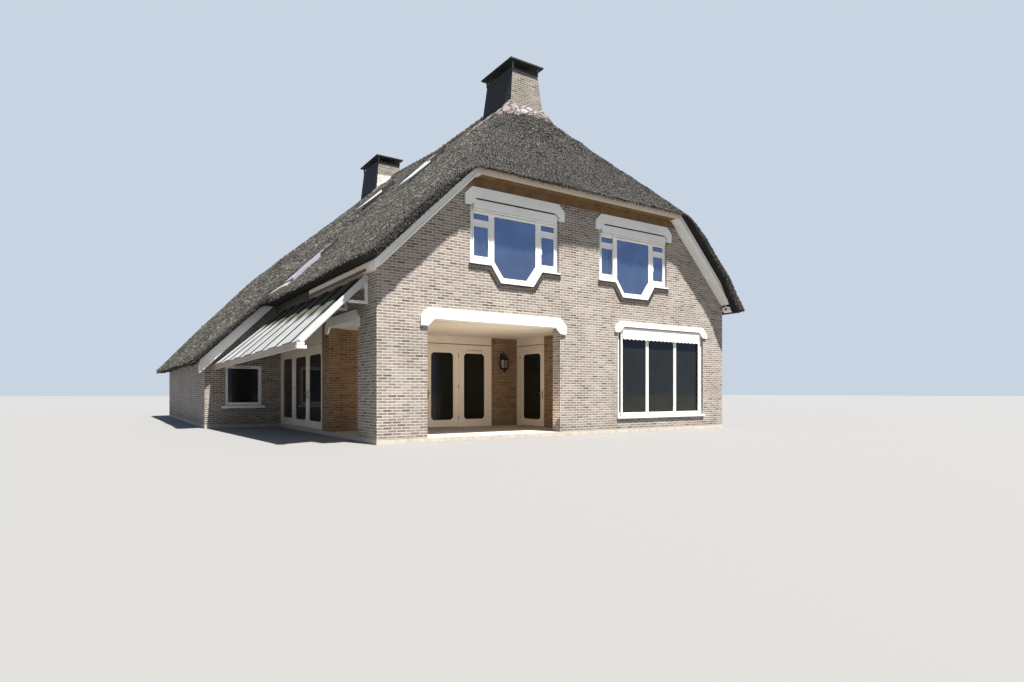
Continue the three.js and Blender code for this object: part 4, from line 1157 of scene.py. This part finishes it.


# Thin slab on short posts over a gap; a black band painted round the top of the stack stands in for the shade under
# the slab
def chimneyTop(name, x, y, sizeX, sizeY, rim, slabX, slabY, node):
    top = rim + 0.19
    slab = [(rectangle(x - slabX / 2, x + slabX / 2, y - slabY / 2, y + slabY / 2), "z", top - chimney["slab"], top)]
    finish(prisms(name + "Slab", slab, darkSlab, 0.008, 1), replaced=(node,))
    posts, capShade = [], []
    low, wall = rim - chimney["capShade"], 0.05
    halfX, halfY = sizeX / 2 + 0.012, sizeY / 2 + 0.012
    for sideX in (-1, 1):
        for sideY in (-1, 1):
            px, py = x + sideX * (halfX - 0.012), y + sideY * (halfY - 0.012)
            posts.append((rectangle(px - 0.024, px + 0.024, py - 0.024, py + 0.024), "z", low + 0.005,
                          top - chimney["slab"] + 0.003))
    finish(prisms(name + "Posts", posts, stackBrick, 0.004, 1))
    # painted shade: dark plates round the top of the stack, below and up to the rim
    for side in (-1, 1):
        wallX = sorted((x + side * halfX, x + side * (halfX - wall)))
        wallY = sorted((y + side * halfY, y + side * (halfY - wall)))
        capShade.append((rectangle(*wallX, y - halfY, y + halfY), "z", low, rim + 0.004))
        capShade.append((rectangle(x - halfX + wall, x + halfX - wall, *wallY), "z", low, rim + 0.004))
    finish(prisms(name + "Mouth", capShade, darkSlab, 0.003, 1))


mortarSkirt("mortarSkirt", "main", chimney["skirtOut"], chimney["skirtLevel"], roofLevel, 0.0)
mortarSkirt("rearSkirt", "rear", chimney["rearOut"], 0.0, shellLevel, 0.07)
mortarPatch()
ridgeTiles()
for title, measures in chimney["caps"].items():
    chimneyTop(title, *measures)
print("chimneys and ridge")

# Boards, loggia and fittings

details = {
    "friezeBoards": 3, "friezeLow": 5.828, "friezeStep": 0.066,
    "ceilingPlank": 0.14, "ceilingLevel": 2.7,
    "transom": (2.43, 2.478),
    "handleLevel": 1.05,
    "lantern": (5.265, 3.215),
    "lanternScale": 1.18,
    "eaveShadeFrom": 4.45,  # from here back the eave board is painted in shade
    "hingeLevels": {"tall": (0.312, 1.211, 2.11), "low": (0.312, 1.156, 2.0)},
    "joints": ((0.962, 2.97, 4.66), (4.976, 2.97, 5.55), (6.638, 0.12, 5.5)),
}
mastic = plainMaterial("mastic", (0.36, 0.29, 0.2), (0.25, 0.2, 0.14), 0.7, 9.0, 0.001)
sheetLead = dulled(plainMaterial("sheetLead", (0.035, 0.034, 0.033), (0.06, 0.058, 0.054), 0.85, 4.0, 0.004), 0.12)
agedBrass = plainMaterial("agedBrass", (0.3, 0.23, 0.12), (0.12, 0.09, 0.05), 0.35, 18.0, 0.001, 0.9)


def gableBoards():
    def edge(z):
        return z - 3.71
    rows = []
    for i in range(details["friezeBoards"]):
        low = details["friezeLow"] + i * details["friezeStep"]
        high = low + details["friezeStep"] - 0.004
        rows.append(([(edge(low), low), (2 * halfWidth - edge(low), low), (2 * halfWidth - edge(high), high),
                      (edge(high), high)], "y", -0.02, -0.001))
    finish(prisms("friezeBoards", rows, ochreBoards, 0.004, 1))
    soffit = [(rectangle(2.4, 8.8, y, y + 0.058), "z", 6.018, 6.028) for y in (-0.27, -0.208, -0.146, -0.084)]
    finish(prisms("soffitBoards", soffit, ochreBoards, 0.003, 1))
    # bead along the lower edge of each barge board
    beads = []
    for turn in (1, -1):
        line = [(0.0, 3.74), (2.29, 6.03), (2.275, 6.06), (-0.015, 3.77)]
        beads.append(([(halfWidth + turn * (x - halfWidth), z) for x, z in line], "y", -0.302, -0.288))
    finish(prisms("bargeBeads", beads, whitePaint, 0.005, 2))
    # behind the canopy the left eave board is painted in shade, and in front of that its lower half is painted in a
    # lighter olive shade, with a pale flashing along its foot
    for title, x, high, near, far, coat in (("eaveShade", -0.157, 3.813, details["eaveShadeFrom"], 8.145, shadowGap),
                                            ("eaveStain", -0.156, 3.705, 0.2, details["eaveShadeFrom"] - 0.002,
                                             stainedPaint)):
        strip = [(rectangle(x, -0.1505, 3.636, high), "y", near, far)]
        finish(prisms(title, strip, coat, 0.002, 1))
    flashing = [([(-0.18, 3.585), (-0.16, 3.58), (-0.158, 3.68), (-0.164, 3.68)], "y", details["eaveShadeFrom"] + 0.1,
                 8.14)]
    finish(prisms("canopyFlashing", flashing, sheetPlastic, 0.002, 1))
    strips = [(rectangle(x - 0.006, x + 0.006, z0, z1), "y", -0.0035, 0.002) for x, z0, z1 in details["joints"]]
    finish(prisms("movementJoints", strips, mastic, 0.001, 1))


# A round spotlight under the foot of the right barge board
def bargeSpot():
    foot = [(11.365, 3.66), (11.25, 3.78), (11.165, 3.7), (11.17, 3.62), (11.22, 3.56), (11.3, 3.545)]
    finish(prisms("bargeFoot", [(foot, "y", -0.286, -0.012)], whitePaint, 0.02, 3))
    centre, axis = at(11.19, -0.16, 3.66), Vector((-0.66, -0.5, -0.56)).normalized()
    side = axis.orthogonal().normalized()
    up = axis.cross(side)
    def turned(name, profile, material, slot):
        rings = []
        for i in range(20):
            a = i * math.pi / 10
            rings.append([centre + axis * z + (side * math.cos(a) + up * math.sin(a)) * r for r, z in profile])
        finish(smoothed(tubeFrom(name, rings, material, loop=True)))
    turned("spotRing", [(0.05, -0.02), (0.085, -0.02), (0.09, 0.045), (0.078, 0.055), (0.054, 0.05)], whitePaint,
           "white_trim")
    turned("spotLens", [(0.001, 0.0), (0.055, 0.0), (0.055, 0.03), (0.03, 0.036), (0.001, 0.038)], blackIron,
           "lantern_iron")


def loggiaBoards():
    planks, y = [], 0.32
    step, level = details["ceilingPlank"], details["ceilingLevel"]
    while y + step < 3.4:
        start = 1.2 if y < 1.16 else 0.32
        planks.append((rectangle(y, y + step - 0.003, level, level + 0.019), "x", start, 5.78))
        y += step
    finish(prisms("ceilingPlanks", planks, creamPaint, 0.005, 1))
    low, high = details["transom"]
    bars = [(rectangle(2.705, 4.945, low, high), "y", 3.428, 3.442),
            (rectangle(2.705, 4.945, high + 0.02, 2.695), "y",
                                                                      3.434, 3.442),
            (rectangle(1.955, 3.395, low, high), "x", 5.828, 5.842),
            (rectangle(1.955, 3.395, high + 0.02, 2.695), "x", 5.834, 5.842),
            (rectangle(3.81, 8.44, 2.345, 2.39), "x", 0.046, 0.062),
            (rectangle(3.81, 8.44, 2.4, 2.43), "x", 0.05, 0.062)]
    finish(prisms("transoms", bars, creamPaint, 0.004, 1))
    gaps = [(rectangle(2.705, 4.945, high, high + 0.02), "y", 3.4385, 3.442),
            (rectangle(1.955, 3.395, high, high + 0.02), "x", 5.8385, 5.842),
            (rectangle(3.81, 8.44, 2.39, 2.4), "x", 0.0585, 0.062)]
    finish(prisms("transomGaps", gaps, shadowGap, 0, 1))
    course("doorVent", [(4.13, 3.437, 2.33), (4.6, 3.437, 2.33)], (0.02, 0.004, 0.016), 0.028, (0, -1, 0), shadowGap,
           0.001, 0.0)
    course("wingVent", [(-1.3, 8.478, 1.888), (-0.84, 8.478, 1.888)], (0.02, 0.004, 0.02), 0.028, (0, -1, 0),
           shadowGap,
           0.001, 0.0)


# Dark sleeves round the hinge barrels and a lever handle at the free edge
def doorFittings(name, body, axis, hinge, free, face, levels):
    def plan(u, v):
        return (u, v) if axis == "y" else (v, u)
    sleeves = []
    for z in details["hingeLevels"][levels]:
        ring = [plan(hinge + 0.0118 * math.cos(i * math.pi / 5), face - 0.008 + 0.0118 * math.sin(i * math.pi / 5))
                for i in range(10)]
        sleeves += [(ring, "z", z + low, z + high) for low, high in ((0.004, 0.034), (0.04, 0.07), (0.076, 0.106))]
    finish(prisms(name + "Hinges", sleeves, blackIron, 0.001, 1), body)
    inward = 1 if hinge > free else -1
    grip = free + inward * 0.075
    z = details["handleLevel"]
    def bar(u0, u1, v0, v1):
        return [plan(u, v) for u, v in rectangle(min(u0, u1), max(u0, u1), v0, v1)]
    parts = [(bar(grip - 0.019, grip + 0.019, face - 0.007, face - 0.0003), "z", z - 0.14, z + 0.1),
             (bar(grip - 0.009, grip + 0.009, face - 0.045, face - 0.006), "z", z + 0.02, z + 0.038),
             (bar(grip - 0.011, grip + inward * 0.12, face - 0.05, face - 0.034), "z", z + 0.019, z + 0.039),
             (bar(grip - 0.006, grip + 0.006, face - 0.009, face - 0.006), "z", z - 0.1, z - 0.07)]
    finish(prisms(name + "Handle", parts, agedBrass, 0.004, 2), body)


def lantern():
    x, y = details["lantern"]
    grow, centre = details["lanternScale"], 1.98

    def up(z):
        return centre + (z - centre) * grow

    def turned(profile, segments):
        turns = [i * 2 * math.pi / segments for i in range(segments)]
        return [[at(x + r * grow * math.cos(turn), y + r * grow * math.sin(turn), up(z)) for r, z in profile]
                for turn in turns]

    def part(name, profile, material, slot, segments=6):
        return finish(tubeFrom(name, turned(profile, segments), material, loop=True))
    part("lanternRoof", [(0.002, 2.205), (0.016, 2.203), (0.022, 2.18), (0.046, 2.165), (0.055, 2.135), (0.136, 2.07),
                         (0.14, 2.052), (0.118, 2.049), (0.002, 2.075)], blackIron, "lantern_iron")
    part("lanternFoot", [(0.002, 1.842), (0.112, 1.842), (0.115, 1.826), (0.09, 1.812), (0.042, 1.796),
                         (0.022, 1.766),
                         (0.016, 1.738), (0.002, 1.734)], blackIron, "lantern_iron")
    part("lanternGlass", [(0.094, 1.84), (0.102, 1.84), (0.114, 2.05), (0.106, 2.05)], frostedGlass, "window_glass")
    part("lanternCandle", [(0.002, 1.84), (0.02, 1.84), (0.02, 1.93), (0.011, 1.94), (0.016, 1.965), (0.002, 2.0)],
         creamPaint, "cream_trim", 12)
    bars = []
    for i in range(6):
        a = i * math.pi / 3
        u, v = x + 0.113 * grow * math.cos(a), y + 0.113 * grow * math.sin(a)
        bars.append((rectangle(u - 0.011, u + 0.011, v - 0.011, v + 0.011), "z", up(1.835), up(2.06)))
    bars += [(rectangle(x - 0.034, x + 0.034, 3.385, 3.3995), "z", up(1.82), up(2.21)),
             (rectangle(x - 0.01, x + 0.01, y, 3.39), "z", up(2.2), up(2.22)),
             (rectangle(x - 0.009, x + 0.009, 3.376, 3.39), "z", up(2.1), up(2.215)),
             (rectangle(x - 0.01, x + 0.01, y + 0.1, 3.39), "z", up(1.826), up(1.842))]
    finish(prisms("lanternBars", bars, blackIron, 0.002, 1), replaced=("wall_lantern",))


def sillsAndHeads():
    sills = [(rectangle(*plan), "z", low, high) for plan, low, high in (
        ((-1.69, -0.44, 8.36, 8.476), 0.605, 0.685), ((11.145, 11.275, 5.12, 6.98), 0.87, 0.945),
        ((11.145, 11.275, 12.72, 14.58), 0.87, 0.945), ((4.62, 6.58, 19.845, 19.975), 0.87, 0.945),
        ((6.8, 10.33, -0.05, 0.056), 0.385, 0.445))]
    finish(prisms("windowSills", sills, whitePaint, 0.01, 2))

    def dropped(start, end, low, high):
        lap, drop, cut = 0.12, 0.1, 0.1
        return [(start - lap, low - drop), (start, low - drop), (start + drop, low), (end - drop, low),
                (end, low - drop),
                (end + lap, low - drop), (end + lap, high - cut), (end + lap - cut, high), (start - lap + cut, high),
                (start - lap, high - cut)]
    heads = [(dropped(5.24, 6.86, 2.38, 2.54), "x", 11.201, 11.245),
             (dropped(12.84, 14.46, 2.38, 2.54), "x", 11.201, 11.245),
             (dropped(4.74, 6.46, 2.38, 2.54), "y", 19.901, 19.945)]
    finish(prisms("windowHeads", heads, whitePaint, 0.008, 2))
    course("wingSoldiers", [(-1.72, 8.456, 2.045), (-0.4, 8.456, 2.045)], (0.052, 0.03, 0.21), 0.0605, (0, -1, 0),
           wallBrick)
    # scalloped fascia of the sun screen over the ground window
    low, outline = 2.565, [(10.12, 2.81), (7.02, 2.81)]
    for i in range(20 * 6 + 1):
        turn = i / 6
        outline.append((7.02 + 3.1 * i / 120, low - 0.028 * math.sin((turn % 1) * math.pi)))
    finish(prisms("screenFascia", [(outline, "y", -0.012, 0.012)], whitePaint, 0.002, 1))
    box = [(rectangle(6.98, 10.16, 2.7, 2.835), "y", 0.012, 0.056),
           (rectangle(6.96, 7.02, 0.52, 2.84), "y", 0.02, 0.056),
           (rectangle(10.11, 10.17, 0.52, 2.84), "y", 0.02, 0.056)]
    finish(prisms("screenBox", box, whitePaint, 0.006, 2))


skylights = {
    "Front": (3.45, 4.55, 5.9, 6.9, 4.38, 1.0), "Rear": (3.03, 4.08, 8.9, 9.8, 4.78, 0.95),
    "Low": (0.04, 1.35, 6.8, 7.9, 4.38, 1.0),
}


def skylight(name, x0, x1, y0, y1, level, slope):
    def top(x, shift):
        return (x, level + slope * x + shift)
    rim = 0.08
    pane = [top(x0 + rim, 0.09), top(x1 - rim, 0.09), top(x1 - rim, 0.105), top(x0 + rim, 0.105)]
    finish(prisms("pane" + name, [(pane, "y", y0 + rim, y1 - rim)], skyGlass, 0, 1))
    # lead over the upper part of the frame: its sides, its lids and the head
    sheet, split, far = 0.014, x0 + 0.62 * (x1 - x0), x1 + 0.03
    cover = []
    for side, lid in (((y0 - sheet, y0 - 0.001), (y0 - sheet, y0 + rim)),
                      ((y1 + 0.001, y1 + sheet), (y1 - rim, y1 + sheet))):
        for low, high, span in ((-0.02, 0.15, side), (0.151, 0.163, lid)):
            cover.append(([top(split, low), top(far, low), top(far, high), top(split, high)], "y", *span))
    cover.append(([top(x1 + 0.001, -0.03), top(x1 + 0.12, -0.02), top(x1 + 0.11, 0.06), top(far, 0.15),
                   top(x1 + 0.001, 0.15)], "y", y0 - sheet, y1 + sheet))
    finish(prisms("cladding" + name, cover, sheetLead, 0.003, 1))
    if name == "Low":
        for title, low, high, thick, coat, slot in (("apronPlank", -0.07, 0.06, 1.0, agedPaint, "cream_trim"),
                                                    ("apronShade", -0.19, -0.071, 0.6, shadowGap, "cap_slate")):
            rings = []
            for x, y, lift in ((-0.12, 6.75, 0.1), (-0.2, 7.13, 0.15), (-0.45, 8.42, 0.2)):
                rings.append([at(part, y, top(part, rise)[1]) for part, rise in (
                    (x + low, -0.02), (x + high, -0.02), (x + high, lift * thick), (x + low, lift * thick))])
            finish(tubeFrom(title, rings, coat))
    else:
        foot = []
        for x, lift in ((x0 - 0.24, 0.035), (x0 - 0.12, 0.05), (x0 - 0.002, 0.11)):
            foot.append([at(x, y0 - 0.06 + (y1 - y0 + 0.12) * i / 12, top(x, lift + 0.008 * math.sin(i * 2.1))[1])
                         for i in range(13)])
        finish(slabFrom("apron" + name, foot, Vector((0.01, 0, -0.02)), sheetLead))
        reedEnd = x0 + 0.66 * (x1 - x0)
        reed = [top(x0 - 0.03, -0.03), top(reedEnd, -0.03), top(reedEnd, 0.075), top(x0 - 0.03, 0.128)]
        finish(prisms("dressedReed" + name, [(reed, "y", y0 - 0.05, y0 - 0.002)], reedCoat, 0.01, 1))


frostedGlass = glassMaterial("frostedGlass", (0.8, 0.74, 0.64), 0.92)
gableBoards()
bargeSpot()
loggiaBoards()
doorFittings("loggiaDoor", "loggia_leaf", "y", 3.8245, 2.782, 3.44, "tall")
doorFittings("loggiaSideDoor", "loggia_side_leaf", "x", 3.2105, 2.01, 5.84, "tall")
doorFittings("sideDoorFront", "side_leaf_front", "x", 3.9025, 5.345, 0.06, "low")
doorFittings("sideDoorRear", "side_leaf_rear", "x", 6.7925, 5.352, 0.06, "low")
lantern()
sillsAndHeads()
for title, measures in skylights.items():
    skylight(title, *measures)
print("boards, fittings and skylights")

# Floor, light and camera

lighting = {
    "sun": 13.4,
    "sunAngle": 1.5,
    "sunTravel": (-0.25, 1, -2.52),
    "sunColour": (1, 0.96, 0.9),
    "glow": 72,
    "glowSize": (3.4, 1.6),
    "glowPlace": (3.1, 0.5, 0.14),
    "glowTravel": (0.05, 0.75, 1),
    "glowColour": (1, 0.84, 0.67),
}
view = {
    "place": (-10.384, -22.206, 1.1),
    "turn": -33.71,
    "focal": 616.9,  # in pixels, as the next two
    "shift": 51.24,
    "picture": 1024,
    "sensor": 36,
}


def aimed(way):
    return Vector(way).to_track_quat("-Z", "Y").to_euler()


def studio():
    scene = bpy.context.scene
    bpy.ops.mesh.primitive_plane_add(size=400, location=(0, 0, -0.002))
    floor = bpy.context.object
    floor.name = "floor"
    material, tree, shader = newMaterial("floorPale", 0.9)
    direct = tree.nodes.new("ShaderNodeLightPath").outputs["Is Camera Ray"]
    link(tree, mixColour(tree, direct, (0.17, 0.165, 0.155), (0.17, 0.17, 0.168)), shader.inputs["Base Color"])
    floor.data.materials.append(material)
    world = bpy.data.worlds.new("studio")
    world.use_nodes = True
    tree = world.node_tree
    rays = tree.nodes.new("ShaderNodeLightPath").outputs
    sky = mixColour(tree, rays["Is Glossy Ray"], (0.26, 0.3, 0.36), (0.34, 0.5, 0.86))
    sky = mixColour(tree, rays["Is Camera Ray"], sky, (0.58, 0.66, 0.76))
    link(tree, sky, tree.nodes["Background"].inputs["Color"])
    scene.world = world
    scene.view_settings.view_transform = "Standard"
    sun = bpy.data.lights.new("key", "SUN")
    sun.energy, sun.color, sun.angle = lighting["sun"], lighting["sunColour"], math.radians(lighting["sunAngle"])
    inScene("key", sun).rotation_euler = aimed(lighting["sunTravel"])
    # light thrown back into the loggia by its sunny floor
    glow = bpy.data.lights.new("loggiaGlow", "AREA")
    glow.shape = "RECTANGLE"
    glow.size, glow.size_y = lighting["glowSize"]
    glow.energy, glow.color = lighting["glow"], lighting["glowColour"]
    lamp = inScene("loggiaGlow", glow)
    lamp.location = at(*lighting["glowPlace"])
    lamp.rotation_euler = aimed(lighting["glowTravel"])
    lamp.visible_camera = False
    lamp.visible_glossy = False
    lens = bpy.data.cameras.new("camera")
    lens.sensor_width = view["sensor"]
    lens.lens = view["sensor"] * view["focal"] / view["picture"]
    lens.shift_y = view["shift"] / view["picture"]
    lens.clip_end = 500
    camera = inScene("camera", lens)
    camera.location = view["place"]
    camera.rotation_euler = (math.radians(90), 0, math.radians(view["turn"]))
    scene.camera = camera


studio()
